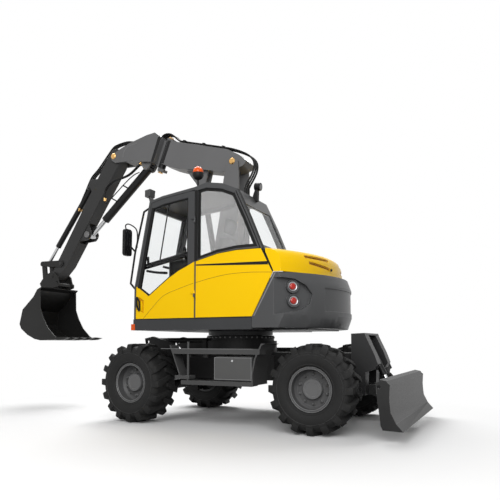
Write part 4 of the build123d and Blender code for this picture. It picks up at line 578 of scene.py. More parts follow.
# Each solid's finish: rounding of its edges (0 keeps the solid as it is), material and slot
FINISHES = {
    "chassis_frame": (0.004, CHASSIS_GREY, "paint_dark"),
    "rear_axle": (0.004, CHASSIS_GREY, "paint_dark"),
    "front_axle": (0.004, CHASSIS_GREY, "paint_dark"),
    "side_step_left": (0.003, STEP_GREY, "paint_dark"),
    "side_step_right": (0.003, STEP_GREY, "paint_dark"),
    "blade_carrier": (0.006, CARRIER_GREY, "paint_dark"),
    "knuckle_left": (0.003, CHASSIS_GREY, "paint_dark"),
    "knuckle_right": (0.003, CHASSIS_GREY, "paint_dark"),
    "steering_rod": (0.002, CHROME, "steel_bright"),
    "rim_front_left": (0.003, RIM_GREY, "paint_dark"),
    "rim_front_right": (0.003, RIM_GREY, "paint_dark"),
    "rim_rear_left": (0.003, RIM_GREY, "paint_dark"),
    "rim_rear_right": (0.003, RIM_GREY, "paint_dark"),
    "blade": (0.005, BLADE_STEEL, "steel_worn"),
    "deck": (0.006, SKIRT_GREY, "paint_dark"),
    "counterweight": (0.012, WEIGHT_GREY, "paint_dark"),
    "engine": (0.01, BLACK_PAINT, "paint_dark"),
    "hood": (0.004, YELLOW, "paint_yellow"),
    "side_panel": (0.005, YELLOW, "paint_yellow"),
    "right_body": (0.02, YELLOW, "paint_yellow"),
    "door": (0.006, DOOR_PAINT, "paint_yellow"),
    "cab": (0.014, CAB_GREY, "paint_grey"),
    "console": (0.006, TRIM, "plastic"),
    "lower_boom": (0.004, BOOM_GREY, "paint_grey"),
    "mid_boom_rear": (0.005, BOOM_GREY, "paint_grey"),
    "mid_boom_front": (0.005, BOOM_GREY, "paint_grey"),
    "stick": (0.005, STICK_GREY, "paint_grey"),
    "lever": (0.003, WORN_STEEL, "steel_worn"),
    "bucket_link": (0.003, WORN_STEEL, "steel_worn"),
    "coupler": (0.003, WORN_STEEL, "steel_worn"),
    "bucket": (0.003, WORN_STEEL, "steel_worn"),
    "lamp_front": (0.006, STEP_GREY, "plastic"),
    "lamp_rear": (0.004, PLASTIC, "plastic"),
    "mirror": (0.006, PLASTIC, "plastic"),
    "boom_hoses": (0.002, HOSE_RUBBER, "hose"),
    "lower_hoses": (0.002, HOSE_RUBBER, "hose"),
    "windscreen": (0, CLEAR_GLASS, "glass"),
    "door_glass": (0, CLEAR_GLASS, "glass"),
    "right_glass": (0, CLEAR_GLASS, "glass"),
    "quarter_glass": (0, PAINTED_REFLECTION_GLASS, "glass"),
    "rear_glass": (0, CLEAR_GLASS, "glass"),
}
for ram in ("lift_left", "lift_right", "fold", "stick", "bucket", "blade"):
    FINISHES[f"{ram}_ram_barrel"] = (0.003, BLACK_PAINT, "paint_dark")
    FINISHES[f"{ram}_ram_rod"] = (0.002, CHROME, "steel_bright")
for node, (width, material, slot_name) in FINISHES.items():
    solid = frame["nodes"][node]
    if width:
        softened(node, width, material)
    else:
        solid.data.materials.clear()
        solid.data.materials.append(material)

# Tyres: a carcass with ribbed walls, and two rows of lugs that meet at the middle in turn
TYRE_RADIUS = 0.5425
LUGS_A_SIDE = 16
CARCASS_HALF = [
    (0.0, 0.503), (0.06, 0.5025), (0.12, 0.4995), (0.165, 0.492), (0.195, 0.476), (0.212, 0.455),
    (0.2205, 0.432), (0.2195, 0.424), (0.2225, 0.420), (0.2235, 0.4135), (0.2205, 0.409),
    (0.2225, 0.385), (0.2215, 0.355), (0.2150, 0.325), (0.2060, 0.303), (0.2080, 0.296),
    (0.2050, 0.288), (0.1980, 0.282), (0.1900, 0.2755), (0.1850, 0.2715), (0.1690, 0.2705),
    (0.1690, 0.2565), (0.0, 0.2565),
]
# Stations of a lug: across the tyre, turned back, half its width, top radius
LUG = np.array([
    (0.2235, 0.000, 0.044, 0.446), (0.2275, 0.000, 0.045, 0.470), (0.2225, 0.000, 0.045, 0.505),
    (0.2120, 0.002, 0.044, 0.527), (0.1900, 0.006, 0.042, 0.5375), (0.1300, 0.026, 0.038, 0.5415),
    (0.0600, 0.054, 0.033, 0.5425), (0.0000, 0.078, 0.030, 0.5425), (-0.0300, 0.088, 0.028, 0.5415),
    (-0.0360, 0.090, 0.026, 0.520),
])
LUG_ROOT = np.array([0.42, 0.44, 0.455, 0.465, 0.475, 0.492, 0.5, 0.5, 0.5, 0.5])
LUG_DRAFT = 0.007
LUG_CHAMFER = 0.005


def tyre(centre, axis, turn_sign):
    """A carcass turned about the axis, with a lug repeated about it on each side.

    A lug's point is centre + axis * a + radial(turn) * r, where the turn is the lug's own,
    plus its station's offset and the section's, each divided by the tread's radius.
    """
    axis = np.array(axis, float)
    across = np.cross((0, 0, 1), axis)
    up = np.array((0.0, 0, 1))
    outline = CARCASS_HALF + [(-a, r) for a, r in reversed(CARCASS_HALF[1:-1])]
    parts = [lathe(outline, centre, tuple(axis), count=90)]
    a, back, half, top = LUG.T
    section = np.array([(-1, -1, 0), (-1, 0, -1), (-1, 1, 0), (1, 1, 0), (1, 0, -1), (1, -1, 0)])
    side = section[:, 0]
    off = (half[:, None] * side - side * LUG_CHAMFER * (section[:, 1] == 1)
           + side * LUG_DRAFT * (section[:, 1] == -1))
    r = np.where(section[:, 1] == -1, LUG_ROOT[:, None] - 0.006,
                 top[:, None] - LUG_CHAMFER * (section[:, 1] == 0))
    r = np.maximum(r, LUG_ROOT[:, None] - 0.006)
    stations, ring = r.shape
    ends = np.array([np.arange(ring), (stations - 1) * ring + np.arange(ring)])
    starts = np.arange(LUGS_A_SIDE)[:, None, None] * r.size
    lug_blocks = [(starts + block).reshape(-1, block.shape[1])
                  for block in (grid_faces(stations, ring, False, True), ends)]
    for row in (1, -1):
        turns = (np.arange(LUGS_A_SIDE) + (0 if row == 1 else 0.5)) * 2 * pi / LUGS_A_SIDE
        angle = turns[:, None, None] + turn_sign * (back[None, :, None] + off[None]) / TYRE_RADIUS
        reach = np.broadcast_to(row * a[None, :, None], angle.shape)
        radius = np.broadcast_to(r[None], angle.shape)
        lugs = (np.array(centre) + reach[..., None] * axis
                + radius[..., None] * (np.cos(angle)[..., None] * across
                                       + np.sin(angle)[..., None] * up))
        parts.append((lugs.reshape(-1, 3), lug_blocks))
    return mixed(parts)


NUTS = 10
NUT_CIRCLE = 0.178
DISC_FACE = 0.05
HUB_COVER = [(0.04, 0.123), (0.1, 0.123), (0.109, 0.116), (0.109, 0.09), (0.105, 0.087), (0.105, 0)]


def hex_prism(centre, axis, radius, height, turn=0.0):
    """A six-sided nut with a bevelled top."""
    axis = np.array(axis, float)
    across = np.cross((0.0, 0, 1), axis)
    up = np.cross(axis, across)
    t = turn + np.arange(6) * pi / 3
    levels = np.array([0, height * 0.8, height])
    radii = np.array([radius, radius, radius * 0.82])
    ring = (np.cos(t)[:, None] * across + np.sin(t)[:, None] * up)
    points = (np.array(centre) + levels[:, None, None] * axis
              + radii[:, None, None] * ring[None]).reshape(-1, 3)
    return points, [grid_faces(3, 6, False, True), np.array([np.arange(12, 18), np.arange(6)[::-1]])]


def wheel_fittings(centre, axis):
    """Nuts on studs round the disc."""
    axis = np.array(axis, float)
    centre = np.array(centre, float)
    across = np.cross((0.0, 0, 1), axis)
    up = np.array((0.0, 0, 1))
    parts = []
    for k in range(NUTS):
        t = (k + 0.5) * 2 * pi / NUTS
        out = across * cos(t) + up * sin(t)
        parts.append(hex_prism(centre + axis * DISC_FACE + out * NUT_CIRCLE, axis, 0.017, 0.02, t))
        parts.append(round_head(centre + axis * DISC_FACE + out * NUT_CIRCLE, tuple(axis), 0.009,
                                0.036, count=12))
        parts.append(round_head(centre + axis * (DISC_FACE - 0.001) + out * NUT_CIRCLE,
                                tuple(axis), 0.023, 0.006, count=16))
    return mixed(parts)


for place in ("front_left", "front_right", "rear_left", "rear_right"):
    low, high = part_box("rim_" + place)
    wheel_centre = tuple((low + high) / 2)
    side = 1 if place.endswith("left") else -1
    steer = STEER_AT_REST if place.startswith("front") else 0
    outward = (-side * sin(steer), side * cos(steer), 0)
    add_mesh("tyre_tread_" + place, tyre(wheel_centre, outward, side),
             NODE_BODY["tyre_" + place], RUBBER, ["tyre_" + place], smooth=32)
    add_mesh("wheel_nuts_" + place, wheel_fittings(wheel_centre, outward),
             NODE_BODY["rim_" + place], RIM_GREY)
    add_mesh("hub_cover_" + place,
             lathe(HUB_COVER, wheel_centre, outward, count=64, closed=False),
             NODE_BODY["rim_" + place], HUB_GREY)
    # A raised paler ring on each wall, where wall meets lugs: a painted highlight
    add_mesh("wall_line_" + place,
             mixed([lathe([(s * 0.2222, 0.4135), (s * 0.2245, 0.4115), (s * 0.2222, 0.4095)],
                          wheel_centre, outward, count=90) for s in (-1, 1)]),
             NODE_BODY["tyre_" + place], TYRE_WALL_HIGHLIGHT)
    # Pale rings on the rim's two flange lips: painted highlights
    add_mesh("rim_lips_" + place,
             mixed([lathe([(0.1845, r + 0.002), (0.1875, r), (0.1845, r - 0.004)],
                          wheel_centre, outward, count=90) for r in (0.2675, 0.2435)]),
             NODE_BODY["rim_" + place], PALE_GREY_AND_HIGHLIGHT)

# Seat: three crowned cushions on the suspension base


def cushion(centre, size, crown, up=(0, 0, 1), along=(1, 0, 0), count=40):
    """A crowned pad: a superellipsoid of power 4 in plan whose sides pull in between corners."""
    u = np.linspace(-pi / 2, pi / 2, count // 2)[:, None]
    v = np.arange(count)[None, :] / count * 2 * pi
    power = 0.45
    curve = lambda w: np.sign(w) * np.abs(w) ** power
    x = curve(np.cos(u)) * curve(np.cos(v)) * size[0] / 2
    y = curve(np.cos(u)) * curve(np.sin(v)) * size[1] / 2
    z = np.sign(np.sin(u)) * np.abs(np.sin(u)) ** 0.6 * size[2] / 2 * np.ones_like(v)
    swell = 1 + crown * (1 - (2 * x / size[0]) ** 2) * (1 - (2 * y / size[1]) ** 2)
    z = z * swell
    local = np.stack([x, y, z], -1).reshape(-1, 3)
    up, along = Vector(up).normalized(), Vector(along).normalized()
    return (placed(local, centre, along, up.cross(along), up),
            [grid_faces(count // 2, count, False, True)])


BACK_DOWN = (0.22, 0, -1)
BACK_FRONT = (1, 0, 0.22)
CROWN = 0.25
# Each cushion: its middle, its size, the way its crown faces and the way its length runs
CUSHIONS = [
    ("seat_cushion", (0.115, 1.865), (0.52, 0.47, 0.125), UP, AHEAD),
    ("seat_back_cushion", (-0.08, 2.25), (0.60, 0.45, 0.12), BACK_FRONT, BACK_DOWN),
    ("seat_headrest", (-0.18, 2.70), (0.22, 0.27, 0.085), BACK_FRONT, BACK_DOWN),
]
for name, (x, z), size, up, along in CUSHIONS:
    pad = add_mesh(name, cushion(at(x, SEAT_Y, z), size, CROWN, up, along), "turret", CLOTH,
                   ["seat"], smooth=60)
BELLOWS = [(0, 0.0), (0, 0.19), (0.03, 0.19), (0.05, 0.16), (0.09, 0.175), (0.13, 0.15),
           (0.17, 0.165), (0.21, 0.14), (0.25, 0.16), (0.29, 0.15), (0.33, 0.17), (0.33, 0.0)]
add_mesh("seat_suspension", lathe(BELLOWS, at(0.105, SEAT_Y, 1.467), UP, up=AHEAD, count=40,
                                  closed=False), "turret", PLASTIC, ["seat"])

# Lines on the skins: panel creases, black seals and seams
CREASE_LINE = [(0.93, 1.43), (0.788, 1.572), (0.603, 1.733), (0.369, 1.817), (0.13, 1.885),
               (0.09, 1.891), (-0.124, 1.937), (-0.398, 1.978), (-0.705, 1.986), (-1.005, 1.972)]
for piece_name, body, points in (("door_crease", "door", CREASE_LINE[:5]),
                                 ("panel_crease", "turret", CREASE_LINE[5:])):
    add_mesh(piece_name, strip(smooth_path(route(points, SIDE_Y), 6), OUT, 0.006, 0.0008), body,
             CREASE)
BELT_SLOT = [(0.09, 2.116), (0.09, 2.134), (-0.945, 2.114), (-0.956, 2.07)]
PANEL_SEAM = [(-0.955, 2.094), (-0.988, 2.05), (-1.013, 1.988)]
PANEL_REAR = [(-0.863, 2.286), (-1.017, 1.984)]
C_PILLAR = [(-0.478, 3.042), (-0.514, 3.08), (-0.694, 2.7), (-0.874, 2.272), (-0.8, 2.311),
            (-0.64, 2.69)]
PILLAR_BACK = [(-0.52, 3.092), (-0.7, 2.71), (-0.886, 2.262)]
DOOR_SEAM = [(0.0965, 1.43), (0.0965, 2.174), (0.1135, 2.17), (0.1135, 1.43)]
SKIRT_SEAM = [(-0.724, 1.413), (-0.724, 1.425), (1.056, 1.425), (1.056, 1.413)]
HOOD_SEAM = [(-0.85, 2.235), (-0.93, 2.235), (-1.06, 1.99), (-0.98, 1.99)]
PILLAR_RIBS = [[(-0.488, 3.055), (-0.655, 2.695), (-0.825, 2.296)],
               [(-0.513, 3.075), (-0.69, 2.695), (-0.868, 2.277)]]
B_PILLAR = [(0.071, 2.19), (0.112, 2.183), (0.112, 3.148), (0.071, 3.14)]
PILLAR_BACK_Y, PILLAR_BACK_OUT = 1.12, (-0.905, 0, 0.426)
# Black plates of the side: outline, and how far their two faces lie from the side's face
SIDE_PLATES = [
    (BELT_SLOT, -0.001, 0.001), (B_PILLAR, -0.001, 0.001), (C_PILLAR, -0.001, 0.001),
    (SKIRT_SEAM, -0.001, 0.001), (DOOR_SEAM, -0.012, -0.002), (HOOD_SEAM, -0.04, -0.02),
]
add_mesh("cab_side_seams", mixed(
    [prism(outline, SIDE_Y + inner, SIDE_Y + outer) for outline, inner, outer in SIDE_PLATES]
    + [strip(route(PANEL_SEAM, SIDE_Y), OUT, 0.005, 0.001),
       strip(route(PANEL_REAR, SIDE_Y), OUT, 0.018, 0.001),
       strip(route(PILLAR_BACK, PILLAR_BACK_Y), PILLAR_BACK_OUT, 0.07, 0.002)]),
    "turret", SEAL)
add_mesh("pillar_ribs", mixed([strip(route(rib, SIDE_Y + 0.0005), OUT, 0.016, 0.004)
                               for rib in PILLAR_RIBS]), "turret", CAB_GREY)


def pane_border(node, width):
    """A seal on the outer face of a side pane, along its own outline."""
    shell = bmesh.new()
    shell.from_mesh(frame["nodes"][node].data)
    bmesh.ops.remove_doubles(shell, verts=shell.verts, dist=1e-5)
    bmesh.ops.dissolve_limit(shell, angle_limit=radians(1), verts=shell.verts, edges=shell.edges)
    face = max((f for f in shell.faces if f.normal.y > 0.99), key=lambda f: f.calc_area())
    outline = [tuple(v.co) for v in face.verts]
    shell.free()
    return strip(outline, OUT, 2 * width, 0.0015, closed=True)


add_mesh("door_glass_seal", pane_border("door_glass", 0.022), "door", SEAL)
FRONT_BORDER = [(0.794, 2.972), (1.01, 1.85)]
add_mesh("door_front_border", strip(route(FRONT_BORDER, SIDE_Y), OUT, 0.045, 0.001), "door", SEAL)
add_mesh("quarter_glass_seal", pane_border("quarter_glass", 0.04), "turret", SEAL)

# Door: handle in its recess, rails inside, each with its radius; arm rests and levers by the seat
HANDLE_GAP = 0.012
HANDLE_LOOP = [(0.992, 1.535), (1.03, 1.59), (1.04, 1.72), (1.003, 1.68), (0.992, 1.6),
               (0.991, 1.545)]
RECESS = [(0.931, 1.501), (0.931, 1.679), (1.009, 1.728), (1.009, 1.561)]
add_mesh("door_handle", tube(smooth_path(route(HANDLE_LOOP, SIDE_Y + HANDLE_GAP), 6), 0.013), "door",
         SEAL)
# A darker yellow plate on the recess floor: painted shade
add_mesh("handle_recess_painted_shade", prism(RECESS, SIDE_Y - 0.0225, SIDE_Y - 0.0215), "door", PAINTED_SHADE_YELLOW)
DOOR_RAILS = [([(0.998, 2.151), (0.625, 2.222), (0.24, 2.297)], 0.038),
              ([(0.925, 2.099), (0.756, 2.069), (0.59, 2.053)], 0.018),
              ([(0.552, 3.1), (0.63, 2.68), (0.712, 2.215)], 0.009),
              ([(0.912, 2.297), (0.901, 2.154)], 0.018)]
add_mesh("door_rails", mixed([tube(smooth_path(route(points, RAIL_Y), 6), radius)
                              for points, radius in DOOR_RAILS]), "door", PLASTIC)
REST_SPREAD, REST_HALF_WIDTH = 0.32, 0.055
for name, side in (("arm_rest_left", 1), ("arm_rest_right", -1)):
    y = SEAT_Y + side * REST_SPREAD
    rest = add_mesh(name, crate(at(0.12, y - REST_HALF_WIDTH, 1.98),
                                at(0.6, y + REST_HALF_WIDTH, 2.24)), "turret", TRIM)
    rest.modifiers.new("rounded", "BEVEL").width = 0.03
GRIP = [(0, 0), (0, 0.02), (0.05, 0.024), (0.1, 0.022), (0.13, 0.028), (0.16, 0.02), (0.165, 0)]
GRIP_LEAN = (0.15, 0, 1)
LEVER_SPREAD = 0.314
add_mesh("control_levers", mixed([
    lathe(GRIP, at(0.35, SEAT_Y + side * LEVER_SPREAD, 2.25), GRIP_LEAN, count=24, closed=False)
    for side in (1, -1)]), "turret", PLASTIC)

# Lamps, beacon and mirror
BEACON_FOOT = at(0.19, 0.96, 3.186)
BEACON_PAD = 0.05
BEACON_CUP = [(0, 0), (0, 0.014), (0.163, 0.014), (0.166, 0.032), (0.178, 0.052), (0.2, 0.068),
              (0.225, 0.077), (0.262, 0.078), (0.264, 0.074), (0.264, 0)]
BEACON_DOME = [(0.262, 0), (0.262, 0.0725), (0.275, 0.0735), (0.295, 0.071), (0.315, 0.063),
               (0.333, 0.049), (0.346, 0.03), (0.352, 0.014), (0.3535, 0)]
add_mesh("beacon_cup", mixed([
    lathe(BEACON_CUP, BEACON_FOOT, UP, up=AHEAD, count=48, closed=False),
    crate(np.array(BEACON_FOOT) - (BEACON_PAD, BEACON_PAD, 0.002),
          np.array(BEACON_FOOT) + (BEACON_PAD, BEACON_PAD, 0.014))]),
    "turret", PLASTIC, ["beacon"])
add_mesh("beacon_dome", lathe(BEACON_DOME, BEACON_FOOT, UP, up=AHEAD, count=48, closed=False),
         "turret", AMBER_LENS, ["beacon"])
add_mesh("front_lamp_lens", crate(at(0.984, 0.982, 3.176), at(0.9875, 1.088, 3.252)), "turret",
         LAMP_LENS)
REAR_LAMP_FACING = (-0.992, 0, -0.124)
add_mesh("rear_lamp_lens", round_head(at(-0.618, 0.6375, 3.2352), REAR_LAMP_FACING, 0.047, 0.006,
                                      count=40), "turret", LAMP_LENS)
add_mesh("marker_lamp", crate(at(1.07, 1.085, 1.268), at(1.135, 1.163, 1.354)), "turret",
         AMBER_LENS)


def mirror_plate(centre, half_width, half_height, thickness, count=64):
    """A rounded plate facing back: a superellipse of power 5 in y and z, drawn along x."""
    t = np.arange(count) / count * 2 * pi
    bow = lambda w: np.sign(w) * np.abs(w) ** 0.4
    ring = np.stack([np.zeros(count), bow(np.cos(t)) * half_width, bow(np.sin(t)) * half_height], -1)
    points = np.concatenate([ring, ring - (thickness, 0, 0)]) + np.array(centre)
    return points, joined_rings(count)


add_mesh("mirror_glass", mirror_plate(at(1.1555, 1.229, 2.501), 0.066, 0.172, 0.0025), "turret",
         MIRROR_GLASS)
MIRROR_STAY = [(1.225, 2.7), (1.235, 2.755), (1.194, 2.774), (1.123, 2.746), (1.052, 2.69),
               (1.026, 2.602), (1.029, 2.421)]
STAY_Y = 1.2
add_mesh("mirror_stay", tube(smooth_path(route(MIRROR_STAY, STAY_Y), 8), 0.009), "turret", PLASTIC)

# Tail: lamps in both pockets, louvre slats in a darker yellow that paints the shade in the slots,
# the hood's latch and a pale strip that paints the front border's highlight. A lamp lies along
# the corner's slanting face and at a height; a slat runs between two points.
TAIL_REACH = 1.545
LAMP_SPOTS = [(-0.149, 1.796), (-0.159, 1.617)]
SLATS = [((-1.3, 0.781, 2.2), (-1.446, 0.239, 2.2)), ((-1.343, 0.734, 2.122), (-1.473, 0.246, 2.08))]
SLAT_RISE, SLAT_SINK, SLAT_BACK = 0.012, 0.012, 0.03
DISH = [(0.039, 0), (0.0395, 0.045), (0.044, 0.056), (0.0435, 0.0575), (0.0375, 0.0575), (0.0375, 0)]
DOME = [(0.038, 0), (0.038, 0.041), (0.048, 0.04), (0.053, 0.034), (0.0565, 0.02), (0.057, 0)]
dishes, domes, slats = [], [], []
for side in (-1, 1):
    outward = np.array((-1, side, 0)) / 2 ** 0.5
    tangent = np.array((1, side, 0)) / 2 ** 0.5
    for distance, level in LAMP_SPOTS:
        centre = np.array(at(0, 0, level)) + outward * TAIL_REACH + tangent * distance
        dishes.append(lathe(DISH, centre, tuple(outward), count=48, closed=False))
        domes.append(lathe(DOME, centre, tuple(outward), count=48, closed=False))
    for slat in SLATS:
        ends = np.array(slat) * (1, side, 1) + (SLEW_X, 0, 0)
        inward = np.cross(ends[1] - ends[0], (0, 0, side))
        inward /= -np.linalg.norm(inward)
        for rise in (-SLAT_RISE, SLAT_RISE):
            slats.append(strip(ends + inward * SLAT_SINK + (0, 0, rise), -inward, 0.012, 0.008))
        slats.append(strip(ends + inward * SLAT_BACK, -inward, 0.06, 0.002))
add_mesh("tail_lamp_dishes", mixed(dishes), "turret", REFLECTOR)
add_mesh("tail_lamp_domes", mixed(domes), "turret", RED_LENS)
# The slats and the plate behind them are darker yellow: painted shade in the slots
add_mesh("louvre_slats_painted_shade", mixed(slats), "hood", PAINTED_SHADE_YELLOW)
add_mesh("hood_latch", round_head(at(-1.486, 0.25, 2.074), (-1, 0.16, 0), 0.02, 0.016), "hood",
         PLASTIC)
# A pale strip along the counterweight's front bevel: a painted highlight
FRONT_BEVEL = [(-1.04, 1.965), (-1.058, 1.965), (-0.768, 1.435), (-0.75, 1.435)]
add_mesh("weight_border_painted_highlight", prism(FRONT_BEVEL, SIDE_Y - 0.002, SIDE_Y + 0.001), "turret", PALE_GREY_AND_HIGHLIGHT)

# Arm: plated pin heads. Each pin has its body, its middle, its reach from the arm's middle,
# and its heads' radius and height; three screws hold a head.
PINS = [
    ("lower_boom", (0.115, 3.875), FOOT_HALF_WIDTH, 0.05, 0.02),
    ("mid_boom_front", (2.44, 4.31), BOOM_HALF_WIDTH, 0.05, 0.02),
    ("lower_boom", (0.43, 1.95), FOOT_HALF_WIDTH, 0.036, 0.012),
    ("turret", (0.23, 1.53), 0.234, 0.05, 0.016),
]
SEATING = 0.001
SCREW_TURN, SCREW_CIRCLE = 2.1, 0.62
for number, (body, (x, z), reach, radius, height) in enumerate(PINS):
    heads = []
    for side in (1, -1):
        facing = (0, side, 0)
        spot = np.array(at(x, ARM_Y + side * (reach - SEATING), z))
        heads.append(round_head(spot, facing, radius, height, count=40))
        for turn in np.arange(3) * SCREW_TURN:
            off = radius * SCREW_CIRCLE * np.array((cos(turn), 0, sin(turn)))
            heads.append(hex_prism(spot + off + (0, side * height, 0), facing, 0.007, 0.006))
    add_mesh(f"pin_heads_{number}", mixed(heads), body, PLATED)

# The offset hinge's dark sleeve, bands and caps, the stick's boss and the front boom's weld bead
HINGE_TOP, HINGE_BOTTOM = np.array(at(1.374, ARM_Y, 4.462)), np.array(at(1.56, ARM_Y, 3.985))
HINGE_RUN = HINGE_BOTTOM - HINGE_TOP
HINGE_SPAN = float(np.linalg.norm(HINGE_RUN))
SLEEVE_RADIUS, SLEEVE_END = 0.0618, 0.03
SLEEVE = [(SLEEVE_END, 0.0), (SLEEVE_END, SLEEVE_RADIUS), (HINGE_SPAN - SLEEVE_END, SLEEVE_RADIUS),
          (HINGE_SPAN - SLEEVE_END, 0.0)]
add_mesh("hinge_sleeve", lathe(SLEEVE, HINGE_TOP, tuple(HINGE_RUN), count=48, closed=False),
         "mid_boom_front", BLACK_PAINT)
# Black plates set flush on both faces of each boom half at the hinge
HINGE_BANDS = [("mid_boom_rear", [(1.314, 4.416), (1.459, 4.053), (1.405, 4.028), (1.262, 4.396)]),
               ("mid_boom_front", [(1.455, 4.488), (1.603, 4.093), (1.66, 4.1), (1.51, 4.528)])]
for body, outline in HINGE_BANDS:
    add_mesh(f"hinge_band_{body}", mixed(
        [prism(outline, ARM_Y + side * (BOOM_HALF_WIDTH - SEATING),
               ARM_Y + side * (BOOM_HALF_WIDTH + SEATING)) for side in (-1, 1)]), body, BLACK_PAINT)
BOSS = [(0, 0), (0, 0.056), (0.006, 0.055), (0.008, 0.052), (0.008, 0.042), (0.003, 0.04), (0.003, 0)]
add_mesh("stick_boss", lathe(BOSS, at(3.029, ARM_Y + STICK_HALF_WIDTH, 2.994), OUT, count=40,
                             closed=False), "stick", PALE_GREY_AND_HIGHLIGHT)
HINGE_CAP_REACH = HINGE_RUN / HINGE_SPAN * 0.039
add_mesh("hinge_caps", mixed([
    round_head(HINGE_TOP - HINGE_CAP_REACH, tuple(-HINGE_RUN), 0.05, 0.014, count=40),
    round_head(HINGE_BOTTOM + HINGE_CAP_REACH, tuple(HINGE_RUN), 0.05, 0.014, count=40)]),
    "mid_boom_rear", PLATED)
BOOM_WELD = [(2.237, 4.265), (2.23, 4.335), (2.197, 4.386), (2.114, 4.44), (1.947, 4.466)]
add_mesh("boom_weld", strip(smooth_path(route(BOOM_WELD, ARM_Y + BOOM_HALF_WIDTH), 5), OUT, 0.008, 0.002),
         "mid_boom_front", PALE_GREY_AND_HIGHLIGHT)


def hose(name, paths, radius, first):
    """Hoses along smooth curves through their points, looping over the joint of two bodies; they ride on
    neither.
    """
    shape = mixed([tube(smooth_path(points, 8), radius, count=14) for points in paths])
    piece = add_mesh(name, shape, first, HOSE_RUBBER, smooth=60, bend=True)
    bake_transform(piece)


def spread(points, offsets):
    """One path for each y offset from the arm's middle, from (x, z) points."""
    return [route(points, ARM_Y + offset) for offset in offsets]


OFFSET_LOOP = [(1.15, 4.404), (1.205, 4.45), (1.27, 4.51), (1.345, 4.556), (1.425, 4.567),
               (1.49, 4.545), (1.52, 4.5)]
hose("offset_hoses", spread(OFFSET_LOOP, (-0.064, -0.021, 0.021, 0.064)), 0.0145,
     "mid_boom_rear")
ELBOW_LOOP = [(0.27, 4.152), (0.238, 4.143), (0.12, 4.1), (-0.01, 4.038), (-0.12, 3.965),
              (-0.19, 3.87), (-0.19, 3.75), (-0.135, 3.632), (-0.07, 3.53), (-0.043, 3.47),
              (-0.0425, 3.43)]
hose("elbow_hoses", spread(ELBOW_LOOP, (-0.064, 0.0, 0.064)), 0.0145, "mid_boom_rear")
STICK_LINE = [(1.95, 4.515), (2.05, 4.535), (2.16, 4.56), (2.27, 4.572), (2.436, 4.552),
              (2.545, 4.513), (2.675, 4.38), (2.861, 4.178), (3.023, 4.033), (3.143, 3.813),
              (3.242, 3.623), (3.299, 3.462)]
STICK_PATHS = spread(STICK_LINE, (-0.04, 0.0, 0.04))
hose("stick_hoses", STICK_PATHS, 0.0135, "mid_boom_front")
# Points (x, y from the arm's middle, z), kept clear of the stick's side
RAM_LINE = [(1.898, 0.06, 4.151), (1.965, 0.08, 4.078), (2.121, 0.14, 3.928), (2.432, 0.148, 3.855),
            (2.588, 0.148, 3.728), (2.61, 0.142, 3.538)]
RAM_PATHS = [np.array(RAM_LINE) + at(0, ARM_Y + apart, 0) for apart in (0, 0.032)]
RAM_BODY = NODE_BODY["stick_ram_barrel"]
hose("stick_ram_hoses", RAM_PATHS, 0.0125, "mid_boom_front")
RAM_PIPE = [(2.606, 0.18, 3.53), (2.6, 0.14, 3.505), (2.541, 0.14, 3.529), (2.211, 0.14, 3.796),
            (2.05, 0.11, 3.93), (1.96, 0.06, 3.99)]
RAM_CLAMPS = [[(2.48, 0.14, 3.578), (2.42, 0.04, 3.53)], [(2.24, 0.14, 3.773), (2.18, 0.04, 3.73)]]
add_mesh("stick_ram_pipe", mixed([
    tube(smooth_path(np.array(points) + at(0, ARM_Y, 0), 6), radius)
    for points, radius in [(RAM_PIPE, 0.009)] + [(clamp, 0.012) for clamp in RAM_CLAMPS]]),
    RAM_BODY, BLACK_PAINT)


def fitting(end, toward, radius=0.019, length=0.05):
    """A plated hose end, a collar and a nut turned as one, facing from one point to another."""
    run = np.array(toward, float) - np.array(end, float)
    run /= np.linalg.norm(run)
    collar = [(0, 0), (0, radius * 0.8), (length * 0.55, radius * 0.8), (length * 0.6, radius),
              (length, radius), (length, 0)]
    return lathe(collar, end, tuple(run), up=(0.1, 1, 0.2), count=12, closed=False)


add_mesh("stick_hose_ends", mixed([fitting(path[-1], path[-2]) for path in STICK_PATHS]), "stick",
         PLATED)
add_mesh("ram_hose_ends", mixed([fitting(path[-1], path[-2], 0.016) for path in RAM_PATHS]), RAM_BODY,
         PLATED)
add_mesh("boom_hose_ends", mixed([fitting(path[0], path[1], 0.018, 0.05) for path in RAM_PATHS]),
         "mid_boom_front", PLATED)

# Chassis: tool box door with its frame and latch, the beam's edge, bolts round the slewing ring
BOX_LEFT, BOX_RIGHT = REAR_AXLE_X - SLEW_X + 0.772, REAR_AXLE_X - SLEW_X + 1.294
BOX_DOOR = [(BOX_LEFT, 0.63), (BOX_RIGHT, 0.63), (BOX_RIGHT, 0.905), (BOX_LEFT, 0.905)]
BOX_DOOR_Y = BOX_Y + 0.003
# The pale strip along the beam's top edge is a painted highlight
BEAM_EDGE = [(-0.738, 1.016), (0.64, 1.016)]
add_mesh("tool_box_door", prism(BOX_DOOR, BOX_Y - SEATING, BOX_DOOR_Y), "chassis", LIGHT_GREY)
add_mesh("tool_box_frame", mixed([
    strip(route(BOX_DOOR, BOX_DOOR_Y), OUT, 0.008, 0.003, closed=True),
    strip(route(BEAM_EDGE, BOX_Y + 0.0005), OUT, 0.006, 0.001)]), "chassis", PALE_GREY_AND_HIGHLIGHT)
add_mesh("tool_box_latch", round_head((REAR_AXLE_X + 1.038, 1.152, 0.865), OUT, 0.016, 0.012),
         "chassis", CHROME)
RING_BOLTS, RING_RADIUS, RING_LEVEL = 40, 0.499, 1.172
ring_bolts = []
for turn in np.arange(RING_BOLTS) * 2 * pi / RING_BOLTS:
    outward = np.array((cos(turn), sin(turn), 0))
    ring_bolts.append(round_head(outward * RING_RADIUS + at(0, 0, RING_LEVEL), tuple(outward), 0.013,
                                 0.01, count=10))
